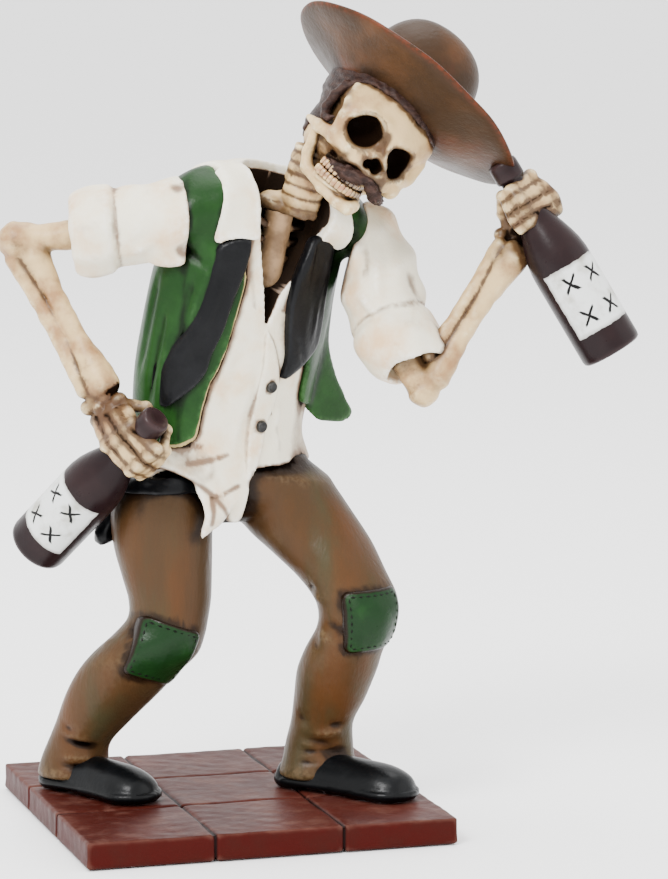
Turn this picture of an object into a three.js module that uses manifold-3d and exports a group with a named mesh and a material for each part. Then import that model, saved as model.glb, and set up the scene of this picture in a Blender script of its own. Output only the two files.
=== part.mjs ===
// Skeleton figurine in a wide hat, an open waistcoat and patched trousers, a bottle in each hand,
// standing with bent knees on a square plinth of nine tiles.
// Millimetres. +X runs along the plinth's front edge, +Y to its back, +Z up.
// The origin is the centre of the plinth's underside.
import * as THREE from 'three';
import { mergeVertices } from 'three/addons/utils/BufferGeometryUtils.js';
import Module from 'manifold-3d';

const wasm = await Module();
wasm.setup();

// Plinth
const plinthSide = 109;
const plinthHeight = 7.8;
const plinthEdge = 0.9;
const grooveWidth = 0.9;
const grooveDepth = 0.8;
const groovesAcross = [-17.4, 20.4];
const groovesBack = [-15.8, 20.6];
const restGap = 0.3;
const floorZ = plinthHeight + restGap;

// Directions that the stance is built on
const ahead = new THREE.Vector3(-0.291, -0.957, 0);
const upright = new THREE.Vector3(0, 0, 1);

// Shoes: centres of the heel and toe rounds on the floor
const shoes = [
  { heel: [-44.5, 17.5], toe: [-30, -6] },
  { heel: [22.5, -1.5], toe: [42.5, -25.5] },
];
const heelRadius = 6.6;
const toeRadius = 8.4;
const soleThick = 2;
const weltOut = 0.8;

// Trouser legs, level by level: x, y, z, half width, half depth
const rightLeg = [
  [-41.4, 15, 11.6, 11.2, 10],
  [-41.6, 14.7, 16.5, 9.8, 9.2],
  [-40.6, 13.3, 22, 9.2, 9],
  [-37.2, 9.2, 29, 11, 9.6],
  [-33.2, 4.8, 37, 13, 10.6],
  [-28.5, 0.3, 45, 14.8, 11.4],
  [-24.6, -3, 50.5, 15.2, 11.8],
  [-20.8, -4.6, 56, 13, 12],
  [-18.2, -4.8, 61, 11.4, 11.8],
  [-17.5, -4.4, 66.5, 11.8, 12],
  [-18.2, -3.8, 73.5, 13.2, 12.6],
  [-19, -3.4, 80.5, 14.4, 13.2],
  [-19.4, -3.2, 88, 14.8, 13.6],
  [-19, -3, 96, 14.4, 13.4],
  [-18, -2.8, 102, 12.5, 12],
];
const leftLeg = [
  [27.9, -4.4, 11.6, 12.3, 10],
  [27.9, -4.3, 16.5, 10.6, 9.2],
  [28.2, -4.1, 21, 10, 8.8],
  [28.6, -5.6, 28, 9.4, 9],
  [30, -8.1, 35.5, 11, 9.8],
  [31.3, -10.4, 43.5, 12, 10.8],
  [32.9, -12.8, 50.5, 11.4, 11.2],
  [35.6, -14.8, 57, 11.2, 11.6],
  [36.4, -15.2, 62, 11.5, 12],
  [35.8, -14.2, 66.5, 12.3, 12],
  [32.8, -10.8, 72.5, 13.7, 12.4],
  [28.5, -7, 79, 15.6, 13],
  [23.9, -3.2, 85.5, 17, 13.6],
  [20, 0, 93, 17, 13.8],
  [16.4, 1.8, 100, 16, 13.6],
  [12.4, 2.8, 111, 14.4, 12.8],
];
const pelvis = [
  [0, 0, 88.5, 8, 7],
  [-1, 1, 91.5, 17, 11],
  [-2.6, 1, 96, 22, 13.6],
  [-3, 0.6, 101, 23, 14],
  [-2.6, 0.6, 106, 22, 14],
  [-0.6, 0.8, 115, 22, 14],
];
const beltLow = 98.6;
const beltHigh = 107;
const beltOut = 0.9;
const beltEnds = [-69, -3];
const patchOut = 0.7;

// Trunk: its own frame leans forward and to the figure's left
const trunkBase = new THREE.Vector3(-1.1, 0.3, 98.2);
const trunkUp = new THREE.Vector3(0.209, -0.128, 0.97).normalize();
const trunkFront = new THREE.Vector3(0.4, -0.916, 0);
// Shirt body in that frame: across, up, forward, half width, half depth
const shirtBody = [
  [0.4, -7, 1, 26.8, 17.2],
  [2, 0, 0, 30, 18.4],
  [1.6, 9, -2.3, 30, 17.8],
  [-1.6, 19, -4.9, 27.8, 18],
  [-2.2, 29, -6.4, 28.4, 18.5],
  [-2.4, 40, -7, 28.8, 19],
  [-2.8, 51, -7.3, 28.8, 19],
  [-3, 62, -7.3, 28.2, 18.8],
  [-3, 73, -5.9, 26.6, 17.6],
  [-3.5, 81, -4.4, 23, 15],
  [-3.7, 87, -3.7, 17.5, 11.5],
  [-4, 91, -3, 12, 8],
];
// Yoke over the shoulders: x, y, z, half height, half depth
const yoke = [
  [-21, -13, 178.6, 7, 8.6],
  [-17, -13.4, 180, 9.4, 10.6],
  [-9, -12.4, 181.4, 10.8, 13],
  [-2, -10.9, 181.8, 10.8, 14],
  [9.4, -9.1, 181.4, 10.2, 15],
  [21.3, -7.5, 179.4, 9, 14.6],
  [34, -6.3, 175.3, 8.6, 13],
  [40, -5, 172.4, 7, 9.5],
  [43.4, -5.4, 170.4, 5, 7],
];
const yokeAlong = new THREE.Vector3(1, 0.1, -0.16);
const vestOut = 1.3;
const tieOut = 2.3;

// Sleeves: x, y, z, radius
const rightSleeve = [
  [-3, -14, 178, 9],
  [-9, -14, 177.4, 12],
  [-16.2, -13.6, 177, 12.6],
  [-24.1, -10.4, 176.3, 11.4],
  [-31.5, -7.2, 175.4, 10.8],
  [-34.2, -6, 175, 11.2],
];
const rightCuff = [
  [-33, -6.6, 175.2, 12],
  [-35.5, -5.5, 174.6, 12.8],
  [-40.3, -3.4, 173.6, 12.9],
  [-44.8, -1.2, 173, 11.8],
];
const leftSleeve = [
  [35.4, -3, 177.5, 9],
  [38.2, -5.6, 172.6, 11.6],
  [42, -9.8, 163.6, 12.4],
  [43.9, -16.6, 153.6, 12],
  [44.6, -22.4, 145.6, 11],
];
const leftCuff = [
  [44.5, -21, 147.4, 11.6],
  [45.3, -23.8, 143.2, 12.4],
  [47.2, -27.6, 138.6, 12.2],
  [49.3, -30.8, 134.6, 10.6],
];

const sleeves = [
  { arm: rightSleeve, cuff: rightCuff, armhole: [-16.4, -25.4, 180], outward: [-1, 0.1, 0.04] },
  { arm: leftSleeve, cuff: leftCuff, armhole: [34.1, -22.9, 174.7], outward: [0.957, -0.291, -0.257] },
];

// Head: its frame sits between the eye sockets, x to the figure's left, y up, z forward
const headPlace = new THREE.Vector3(36.6, -39.4, 198.3);
const headSide = new THREE.Vector3(0.844, 0.17, -0.509).normalize();
const headUp = new THREE.Vector3(0.533, -0.15, 0.833);
const teethInRow = 10;
const toothRelief = 0.7;

// Hat
const hatPlace = new THREE.Vector3(47.8, -23.2, 212);
const hatUp = new THREE.Vector3(0.684, 0.153, 0.713).normalize();
const hatLong = new THREE.Vector3(0.719, -0.309, -0.623);
const brimRadius = 38.4;
const brimNarrow = 0.93;
const crownHeight = 22.4;
const crownRadius = 17;
const crownShift = -0.5;

// Hands
const knuckle = 2.3;
const wristBone = 3;

// Bottles
const bottleLength = 63;
const bottleRadius = 9;
const bottles = [
  { mouth: [-27.8, -31.3, 123.3], foot: [-50.8, 4.4, 86.6] },
  { mouth: [71.4, -36.4, 194.9], foot: [101.5, -49.7, 140.6] },
];

// Facets around each kind of form
const sidesBody = 16;
const ringsBody = 7;
const sidesYoke = 9;
const ringsYoke = 5;
const sidesLeg = 10;
const ringsLeg = 11;
const sidesSleeve = 10;
const sidesArm = 6;
const sidesBone = 5;
const sidesFinger = 5;
const sidesBrim = 24;
const sidesCrown = 14;
const sidesBottle = 10;

const vec = (p) => new THREE.Vector3(p[0], p[1], p[2]);

// A closed geometry as a solid that can be joined and cut
function solid(geometry) {
  const g = geometry.clone();
  g.deleteAttribute('normal');
  g.deleteAttribute('uv');
  const merged = mergeVertices(g, 1e-4);
  return new wasm.Manifold(new wasm.Mesh({
    numProp: 3,
    vertProperties: Float32Array.from(merged.attributes.position.array),
    triVerts: Uint32Array.from(merged.index.array),
  }));
}

function joined(list) {
  return list.reduce((all, next) => all.add(next));
}

// Right-handed frame with its y axis along `along` and its z axis as near `front` as can be
function frameOf(origin, along, front) {
  const y = along.clone().normalize();
  const x = new THREE.Vector3().crossVectors(y, front).normalize();
  const z = new THREE.Vector3().crossVectors(x, y);
  return new THREE.Matrix4().makeBasis(x, y, z).setPosition(origin);
}

const trunkFrame = frameOf(trunkBase, trunkUp, trunkFront);
const headFrame = frameOf(headPlace, headUp, new THREE.Vector3().crossVectors(headSide, headUp));

// Oval sections at right angles to `along`, strung on a smooth line through the stations
function loft(stations, along, front, sides, rings, grow = 0) {
  const frame = frameOf(new THREE.Vector3(), along, front);
  const across = new THREE.Vector3().setFromMatrixColumn(frame, 0);
  const forward = new THREE.Vector3().setFromMatrixColumn(frame, 2);
  const line = new THREE.CatmullRomCurve3(stations.map(vec));
  const sizes = new THREE.CatmullRomCurve3(
    stations.map((s) => new THREE.Vector3(s[3] + grow, s[s.length - 1] + grow, 0)));
  const g = new THREE.CylinderGeometry(1, 1, 1, sides, rings);
  const place = g.attributes.position;
  const p = new THREE.Vector3();
  for (let i = 0; i < place.count; i += 1) {
    p.fromBufferAttribute(place, i);
    const t = p.y + 0.5;
    const size = sizes.getPoint(t);
    const at = line.getPoint(t);
    at.addScaledVector(across, p.x * size.x).addScaledVector(forward, p.z * size.y);
    place.setXYZ(i, at.x, at.y, at.z);
  }
  return solid(g);
}

// The same in a frame of its own
function loftIn(frame, stations, sides, rings, grow = 0) {
  const moved = stations.map((s) => {
    const at = vec(s).applyMatrix4(frame);
    return [at.x, at.y, at.z, s[3], s[4]];
  });
  const along = new THREE.Vector3().setFromMatrixColumn(frame, 1);
  const front = new THREE.Vector3().setFromMatrixColumn(frame, 2);
  return loft(moved, along, front, sides, rings, grow);
}

// A flat outline pushed along the z axis of a frame
function panel(frame, outline, from, to) {
  const corners = outline.map((p) => (p.isVector2 ? p : new THREE.Vector2(p[0], p[1])));
  const apart = corners.filter((p, i) => p.distanceTo(corners[(i + 1) % corners.length]) > 0.01);
  const shape = new THREE.Shape(apart);
  const g = new THREE.ExtrudeGeometry(shape, { depth: to - from, bevelEnabled: false });
  g.translate(0, 0, from);
  g.applyMatrix4(frame);
  return solid(g);
}

// A profile of [radius, distance] turned about the line from `start` towards `end`
function spun(profile, start, end, sides, squeeze = new THREE.Matrix4()) {
  const axis = end.clone().sub(start);
  const points = profile.map((p) => new THREE.Vector2(p[0], p[1]));
  const g = new THREE.LatheGeometry(points, sides);
  const turn = new THREE.Quaternion().setFromUnitVectors(new THREE.Vector3(0, 1, 0), axis.normalize());
  g.applyQuaternion(turn);
  g.translate(start.x, start.y, start.z);
  g.applyMatrix4(squeeze);
  return solid(g);
}

// A short bone of the hand: a waisted stick with pointed-round ends
function fingerBone(a, b, knob, shaft) {
  const start = vec(a);
  const end = vec(b);
  const length = start.distanceTo(end);
  const profile = [[0, -knob * 0.8], [knob, 0], [shaft, length / 2], [knob, length], [0, length + knob * 0.8]];
  return spun(profile, start, end, sidesFinger);
}

// A row of hand bones along its joints: thick at each joint and waisted between
function fingerChain(joints, knob) {
  const path = joints.map(vec);
  const last = path.length - 1;
  const axis = new THREE.Vector3().crossVectors(
    path[1].clone().sub(path[0]), path[last].clone().sub(path[1])).normalize();
  const rings = [];
  const from = path[0].clone().sub(path[1]).setLength(knob * 0.7);
  rings.push([path[0].clone().add(from), knob * 0.45]);
  path.forEach((p, i) => {
    rings.push([p, knob - i * 0.12]);
    if (i === 0) {
      rings.push([p.clone().lerp(path[i + 1], 0.5), (knob - i * 0.12) * 0.72]);
    }
  });
  const to = path[last].clone().sub(path[last - 1]).setLength(knob * 0.8);
  rings.push([path[last].clone().add(to), knob * 0.4]);
  const g = new THREE.CylinderGeometry(1, 1, 1, sidesFinger, rings.length - 1);
  const place = g.attributes.position;
  for (let i = 0; i < place.count; i += 1) {
    const n = Math.round((place.getY(i) + 0.5) * (rings.length - 1));
    const before = rings[Math.max(0, n - 1)][0];
    const after = rings[Math.min(rings.length - 1, n + 1)][0];
    const side = after.clone().sub(before).cross(axis).normalize();
    const at = rings[n][0].clone()
      .addScaledVector(axis, -place.getX(i) * rings[n][1])
      .addScaledVector(side, place.getZ(i) * rings[n][1]);
    place.setXYZ(i, at.x, at.y, at.z);
  }
  return solid(g);
}

// A bone with a knob at each end and a thinner shaft
function bone(a, b, knobA, shaft, knobB, sides = sidesBone) {
  const start = vec(a);
  const end = vec(b);
  const length = start.distanceTo(end);
  const profile = [
    [0, -knobA * 0.85],
    [knobA * 0.75, -knobA * 0.6],
    [knobA, 0],
    [shaft, length * 0.28],
    [shaft, length * 0.68],
    [knobB, length],
    [knobB * 0.75, length + knobB * 0.6],
    [0, length + knobB * 0.85],
  ];
  return spun(profile, start, end, sides);
}

function ball(frame, centre, radii, sides = 12) {
  const g = new THREE.SphereGeometry(1, sides, Math.round(sides * 0.6));
  g.scale(radii[0], radii[1], radii[2]);
  g.translate(centre[0], centre[1], centre[2]);
  g.applyMatrix4(frame);
  return solid(g);
}

function box(frame, centre, size) {
  const g = new THREE.BoxGeometry(size[0], size[1], size[2]);
  g.translate(centre[0], centre[1], centre[2]);
  g.applyMatrix4(frame);
  return solid(g);
}

function roundedSquare(half, corner, steps) {
  const shape = new THREE.Shape();
  const inner = half - corner;
  const centres = [[inner, inner], [-inner, inner], [-inner, -inner], [inner, -inner]];
  centres.forEach((c, i) => {
    shape.absarc(c[0], c[1], corner, i * Math.PI / 2, (i + 1) * Math.PI / 2, false);
  });
  return shape.getPoints(steps);
}

// Plinth: a bevelled square slab with two grooves each way, which run down its sides
function plinth() {
  const outline = new THREE.Shape(roundedSquare(plinthSide / 2 - plinthEdge, 1, 2));
  const g = new THREE.ExtrudeGeometry(outline, {
    depth: plinthHeight - 2 * plinthEdge,
    bevelThickness: plinthEdge,
    bevelSize: plinthEdge,
    bevelSegments: 1,
  });
  g.translate(0, 0, plinthEdge);
  let slab = solid(g);
  const world = new THREE.Matrix4();
  const edge = plinthSide / 2;
  const long = plinthSide + 2;
  groovesAcross.forEach((x) => {
    slab = slab.subtract(box(world, [x, 0, plinthHeight], [grooveWidth, long, 2 * grooveDepth]));
    [-edge, edge].forEach((y) => {
      slab = slab.subtract(box(world, [x, y, plinthHeight], [grooveWidth, 2 * grooveDepth, long]));
    });
  });
  groovesBack.forEach((y) => {
    slab = slab.subtract(box(world, [0, y, plinthHeight], [long, grooveWidth, 2 * grooveDepth]));
    [-edge, edge].forEach((x) => {
      slab = slab.subtract(box(world, [x, y, plinthHeight], [2 * grooveDepth, grooveWidth, long]));
    });
  });
  return slab;
}

// Outline of a sole: a round at the heel and a wider one at the toe, with a drawn-in waist
function soleOutline(length, out) {
  const shape = new THREE.Shape();
  const heel = heelRadius + out;
  const toe = toeRadius + out;
  shape.moveTo(heel, 0);
  shape.bezierCurveTo(heel * 0.9, length * 0.4, toe, length * 0.55, toe, length);
  shape.absarc(0, length, toe, 0, Math.PI, false);
  shape.bezierCurveTo(-toe, length * 0.55, -heel * 0.9, length * 0.4, -heel, 0);
  shape.absarc(0, 0, heel, Math.PI, 2 * Math.PI, false);
  return shape.getPoints(3);
}

function shoe({ heel, toe }) {
  const start = new THREE.Vector3(heel[0], heel[1], floorZ);
  const end = new THREE.Vector3(toe[0], toe[1], floorZ);
  const length = start.distanceTo(end);
  const frame = frameOf(start, end.clone().sub(start), upright);
  const sole = panel(frame, soleOutline(length, weltOut), 1, 1 + soleThick);
  const tread = panel(frame, soleOutline(length, 0).filter((p) => p.y > length * 0.45), 0, 1.2);
  const block = panel(frame, soleOutline(length, 0.3).filter((p) => p.y < 4), 0, 1.2);
  const upper = loftIn(frame, [
    [0, -heelRadius + 0.4, 2, 3.4, 4],
    [0, -heelRadius + 2, 2, 5.6, 8.5],
    [0, 0, 2, 6.5, 11],
    [0, length * 0.4, 2, 6.9, 10.4],
    [0, length * 0.75, 2, 8, 8.4],
    [0, length, 2, 8.3, 7.4],
    [0, length + toeRadius * 0.65, 2, 6.4, 5.4],
    [0, length + toeRadius * 0.98, 2, 2.4, 2.4],
  ], 10, 5).intersect(box(frame, [0, length / 2, 11], [60, 90, 18]));
  return joined([sole, tread, block, upper]);
}

function kneePatch(leg, centre, normal, rise, half) {
  const frame = frameOf(vec(centre), vec(rise), vec(normal));
  const cut = panel(frame, roundedSquare(half, 2, 1), 0, 24);
  return loft(leg, upright, ahead, sidesLeg, ringsLeg, patchOut).intersect(cut);
}

function trousers() {
  const legs = [rightLeg, leftLeg].map((leg) => loft(leg, upright, ahead, sidesLeg, ringsLeg));
  const seat = loft(pelvis, upright, ahead, sidesLeg, 5);
  const patches = [
    kneePatch(rightLeg, [-22.6, -3, 52.4], [0.02, -0.99, -0.1], [0.34, 0, 0.94], 9),
    kneePatch(leftLeg, [36.6, -14, 60.5], [0.16, -0.98, 0], [-0.04, 0, 1], 9.2),
  ];
  const beltMiddle = [(beltEnds[0] + beltEnds[1]) / 2, 0, (beltLow + beltHigh) / 2];
  const beltBox = [beltEnds[1] - beltEnds[0], 120, beltHigh - beltLow];
  const band = loft(pelvis, upright, ahead, sidesLeg, 5, beltOut)
    .add(loft(rightLeg, upright, ahead, sidesLeg, ringsLeg, beltOut))
    .intersect(box(new THREE.Matrix4(), beltMiddle, beltBox));
  const sashEnd = bone([-31.5, 3.6, 96], [-34.6, 4.8, 85], 2.6, 2.4, 3.2);
  return joined([...legs, seat, ...patches, band, sashEnd]);
}

// Hem of the shirt, in the trunk frame: everything below these lines is cut away
const hemFront = [
  [-40, 6], [-26, 5.6], [-18, 3.4], [-12, -1], [-8, -6], [-4, -6], [-3.2, 3], [-2.7, 9.4], [8.6, 9.4],
  [18, 11.2], [40, 12], [40, -40], [-40, -40],
];
const hemBack = [[-40, 6], [-20, 4], [0, 5], [18, 9], [40, 12], [40, -40], [-40, -40]];
// The pointed tail of the shirt that hangs before the thighs: x, y, z, half width, half depth
const shirtTail = [
  [-10, -18.2, 85.4, 0.6, 0.7], [-8.6, -18.8, 88.1, 2.4, 1.1], [-6.6, -19.4, 91.1, 4.2, 1.4],
  [-5, -19.2, 93.9, 5.6, 1.5], [-4.2, -17.9, 96.7, 6.9, 1.9], [-4.8, -16.8, 99.6, 8.4, 2.2],
  [-5.2, -15, 102.9, 9, 2.4], [-6, -12.6, 106.5, 9, 2.4],
];
// Neck opening of the shirt
const neckOpening = [
  [-16.5, 96], [-15.6, 84], [-14.6, 76], [-10.6, 60], [-6.8, 51.5], [-4.6, 57], [-2.6, 65],
  [-1, 76], [4, 86], [5, 96],
];

function shirt() {
  const body = loftIn(trunkFrame, shirtBody, sidesBody, ringsBody)
    .subtract(panel(trunkFrame, hemFront, 0, 40))
    .subtract(panel(trunkFrame, hemBack, -40, 0));
  const shoulders = loft(yoke, yokeAlong, ahead, sidesYoke, ringsYoke);
  const raised = loftIn(trunkFrame, shirtBody, sidesBody, ringsBody, 0.6);
  const tail = loft(shirtTail, upright, trunkFront, 8, 7);
  const placket = raised.intersect(panel(trunkFrame,
    [[-6.6, 51], [-0.4, 37], [1.4, 22], [-2, 8], [-3.6, 13], [-4, 37]], 0, 40));
  return joined([body, shoulders, tail, placket]);
}

function buttons() {
  return [[-1.8, 34.3, 11.6], [-2.3, 22.5, 12.6]].map((p) => {
    const start = vec(p).applyMatrix4(trunkFrame);
    const end = vec([p[0], p[1], p[2] + 5]).applyMatrix4(trunkFrame);
    return spun([[0, 0], [1.6, 0], [1.6, 2], [0, 2.5]], start, end, 7);
  });
}

function collar() {
  const raised = loftIn(trunkFrame, shirtBody, sidesBody, ringsBody, 1.9)
    .add(loft(yoke, yokeAlong, ahead, sidesYoke, ringsYoke, 1.2));
  const wings = [
    [[-25.4, 97], [-26, 84], [-27, 74], [-20.4, 75.4], [-15.4, 76], [-16.2, 85], [-18, 97]],
    [[5, 96], [3.6, 86], [0.4, 78.4], [8, 78.4], [14.4, 75.4], [15, 86], [14, 96]],
  ];
  return wings.map((wing) => raised.intersect(panel(trunkFrame, wing, 0, 40)));
}

function tieEnds() {
  const raised = loftIn(trunkFrame, shirtBody, sidesBody, ringsBody, tieOut);
  const ends = [
    [[-25.2, 73], [-21.4, 76], [-18.6, 75], [-18.4, 68], [-19.6, 54.5], [-21.2, 37], [-23.4, 29],
      [-27, 22.5], [-30, 24], [-31, 33], [-29.4, 42], [-26.8, 55.6], [-25.4, 67]],
    [[1.2, 78], [6, 79], [10.6, 77], [10.8, 71], [13.4, 60], [15.4, 46], [9.4, 40.4], [2.8, 37],
      [3.2, 45.5], [0.2, 63], [-0.6, 72]],
  ];
  return ends.map((end) => raised.intersect(panel(trunkFrame, end, -8, 40)));
}

// Waistcoat: the trunk swelled by the cloth, open in front, with armholes and a hem
function vest() {
  const cloth = loftIn(trunkFrame, shirtBody, sidesBody, ringsBody, vestOut)
    .add(loft(yoke, yokeAlong, ahead, sidesYoke, ringsYoke, 0.6));
  const opening = [
    [-24.6, 100], [-24.8, 84], [-19, 75], [-17.2, 70], [-15, 60], [-16.4, 47], [-19, 34.5],
    [-20.2, 25], [-21.6, 16.8], [-25.8, 11], [-42, 9], [-42, -20], [42, -20], [42, 52], [17.5, 52],
    [13, 62], [11, 75], [8, 84], [2, 100],
  ];
  const backHem = [[-60, 9], [-20, 7], [20, 8], [60, 12], [60, -30], [-60, -30]];
  const flap = [
    [31.6, 23, 4.6, 4.4, 0.9], [31.4, 25.8, 4.2, 8.8, 1.3], [26.6, 31, 3.4, 9.8, 1.5],
    [21.9, 38, 2.4, 9, 1.7], [18.5, 46, 1.8, 8, 1.9], [16.6, 55, 1.6, 7.6, 2.2], [15.9, 64, 1.6, 7, 2.6],
    [17, 74, 1, 6, 3],
  ];
  return cloth
    .subtract(panel(trunkFrame, opening, -2, 40))
    .subtract(panel(trunkFrame, backHem, -60, 0))
    .add(loftIn(trunkFrame, flap, 8, 7));
}

// A sleeve with its turned-up cuff, cut off where it enters the armhole
function sleeve({ arm, cuff, armhole, outward }) {
  const along = vec(arm[arm.length - 1]).sub(vec(arm[1]));
  const way = vec(outward).normalize();
  return loft(arm, along, upright, sidesSleeve, 6)
    .add(loft(cuff, along, upright, sidesSleeve, 4))
    .trimByPlane(way.toArray(), way.dot(vec(armhole)));
}

// The chest that shows in the open shirt: a breastbone and short ribs
function chestBones() {
  const at = (x, y, z) => vec([x, y, z]).applyMatrix4(trunkFrame).toArray();
  const ribs = [78, 71, 64].map((y) => fingerBone(at(-16, y, 6), at(0, y - 2, 6.5), 1.3, 1.2));
  return [fingerBone(at(-8.6, 86, 7), at(-8, 58, 7.4), 2.8, 2.4), ...ribs];
}

function neck() {
  const low = new THREE.Vector3(15, -15.5, 175);
  const high = new THREE.Vector3(21.2, -19.6, 196);
  const length = low.distanceTo(high);
  const rings = 3;
  const profile = [[0, 0]];
  for (let i = 0; i < rings; i += 1) {
    const step = length / rings;
    profile.push([4.7, (i + 0.15) * step], [4.5, (i + 0.6) * step], [3.2, (i + 0.85) * step]);
  }
  profile.push([0, length]);
  return [spun(profile, low, high, 7)];
}

// The teeth: a band bent round the jaw, notched between teeth and drawn in where the rows meet
function toothBand() {
  const columns = teethInRow * 2;
  const g = new THREE.BoxGeometry(1, 1, 1, columns, 2, 1);
  const place = g.attributes.position;
  for (let i = 0; i < place.count; i += 1) {
    const column = Math.round((place.getX(i) + 0.5) * columns);
    const a = Math.PI * (1 - column / columns);
    const up = place.getY(i) * 2;
    const relief = up === 0 ? 0 : (column % 2) * toothRelief;
    const deep = place.getZ(i) > 0 ? 9.2 - 0.3 * up + relief : 6.4;
    const y = -12.9 + 2.5 * up - 0.9 * Math.sin(a);
    place.setXYZ(i, deep * Math.cos(a), y, -8.6 + (deep + 2.8) * Math.sin(a));
  }
  g.applyMatrix4(headFrame);
  return solid(g);
}

function skull() {
  const inHead = (c, r, sides) => ball(headFrame, c, r, sides);
  const at = (x, y, z) => vec([x, y, z]).applyMatrix4(headFrame).toArray();
  const sides = [-1, 1];
  const face = loftIn(headFrame, [
    [0, -12.4, -5, 8.8, 8.2], [0, -8, -5.8, 11, 9], [0, -4, -6.2, 12.8, 9.4], [0, 0, -6.4, 14, 8.8],
    [0, 4, -6, 15.8, 9.6], [0, 8, -7, 15.2, 10], [0, 13, -9, 12.6, 8.6],
  ], 11, 5);
  const bony = [
    inHead([0, 9, -19], [16.6, 15.5, 20.5], 12),
    inHead([-0.9, -2.6, -19.4], [18, 12.8, 14.4], 10),
    face,
    inHead([0, -1.4, 1.6], [1.7, 5, 2.4], 5),
    inHead([0, -18.7, 1.4], [4.4, 2.3, 2.5], 7),
  ];
  sides.forEach((s) => {
    bony.push(inHead([s * 11.2, -6.6, -3.8], [3.4, 3.2, 4], 6));
    bony.push(fingerBone(at(s * 13, -5.6, -5), at(s * 15.4, -6.4, -17), 1.8, 1.7));
    bony.push(fingerBone(at(s * 14, -7.6, -14.4), at(s * 12, -17, -13), 2.2, 2));
    bony.push(fingerBone(at(s * 12, -17.1, -12.8), at(s * 3.4, -18.6, 0.8), 2.3, 2.2));
  });
  const hollows = [inHead([0, -5.6, 4.4], [2.7, 3.1, 3.4], 6)];
  sides.forEach((s) => {
    hollows.push(inHead([s * 7.2, -0.6 - s * 0.8, 2.4], [5.2, 4.8, 7], 9));
    hollows.push(inHead([s * 18.6, 2.4, -9], [4.6, 4.6, 6.4], 6));
  });
  const moustache = sides.map((s) => fingerBone(at(0, -9.4, 3.6), at(s * 8.4, -12 + 0.4 * s, -2), 1.9, 2));
  return joined([
    joined(bony).subtract(joined(hollows)),
    toothBand(),
    ...moustache,
  ]);
}

// Squeezes along the x axis of a frame
function narrowing(frame, factor) {
  return frame.clone()
    .multiply(new THREE.Matrix4().makeScale(factor, 1, 1))
    .multiply(frame.clone().invert());
}

// Hat: a dished brim and a round crown, both solid where the head fills them
function hat() {
  const frame = frameOf(hatPlace, hatUp, hatLong);
  const start = hatPlace.clone();
  const end = start.clone().add(hatUp);
  const rim = brimRadius;
  const brim = spun([
    [0, -1.1], [rim * 0.84, -0.9], [rim * 0.99, 0.3], [rim, 1.4], [rim * 0.96, 1.8], [rim * 0.8, 1], [0, 1],
  ], start, end, sidesBrim, narrowing(frame, brimNarrow));
  const crown = [];
  const steps = 4;
  for (let i = 0; i < steps; i += 1) {
    const a = (i / steps) * Math.PI / 2;
    crown.push([crownRadius * Math.pow(Math.cos(a), 0.65), 6 + (crownHeight - 6) * Math.sin(a)]);
  }
  const foot = new THREE.Vector3(0, 0, crownShift).applyMatrix4(frame);
  const dome = spun([[0, -0.6], [crownRadius * 1.1, -0.6], [crownRadius * 1.08, 2],
    ...crown, [0, crownHeight]], foot, foot.clone().add(hatUp), sidesCrown);
  return brim.add(dome);
}

function bottle({ mouth, foot }) {
  const top = vec(mouth);
  const down = vec(foot).sub(top).normalize();
  const end = top.clone().addScaledVector(down, bottleLength);
  const r = bottleRadius;
  return spun([
    [0, 0], [r - 1, 0], [r, 1.4], [r, 28], [r * 0.9, 34.5], [r * 0.62, 42.5],
    [r * 0.42, 48.5], [3.3, 56.6], [4.2, 57.2], [4.2, bottleLength], [0, bottleLength],
  ], end, top, sidesBottle);
}

// Arm bones that show below the cuffs
function armBones() {
  return [
    bone([-42.6, -1.7, 173.2], [-59.4, 5.4, 171.2], 4.8, 4.4, 5.6, sidesArm),
    bone([-55, 3.1, 167.4], [-39.2, -13.1, 131.2], 4.2, 2.8, 5, sidesArm),
    bone([-61.2, 6.1, 165.5], [-45.2, -11.3, 128.9], 2.9, 1.9, 2.8),
    bone([47.2, -29, 136.3], [50.8, -32.3, 128.4], 5, 4.4, 4.8, sidesArm),
    bone([54, -34.2, 132.7], [75.6, -37.7, 166.3], 4.2, 2.8, 4.8, sidesArm),
    bone([51.8, -33.5, 139.6], [71.5, -36.4, 170.6], 2.7, 1.9, 2.8),
  ];
}

// A hand: small wrist bones and five rows of finger bones
function hand(wristBones, fingers) {
  return [
    ...wristBones.map((c) => ball(new THREE.Matrix4(), c, [wristBone, wristBone, wristBone], 5)),
    ...fingers.map((joints) => fingerChain(joints, knuckle)),
  ];
}

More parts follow.
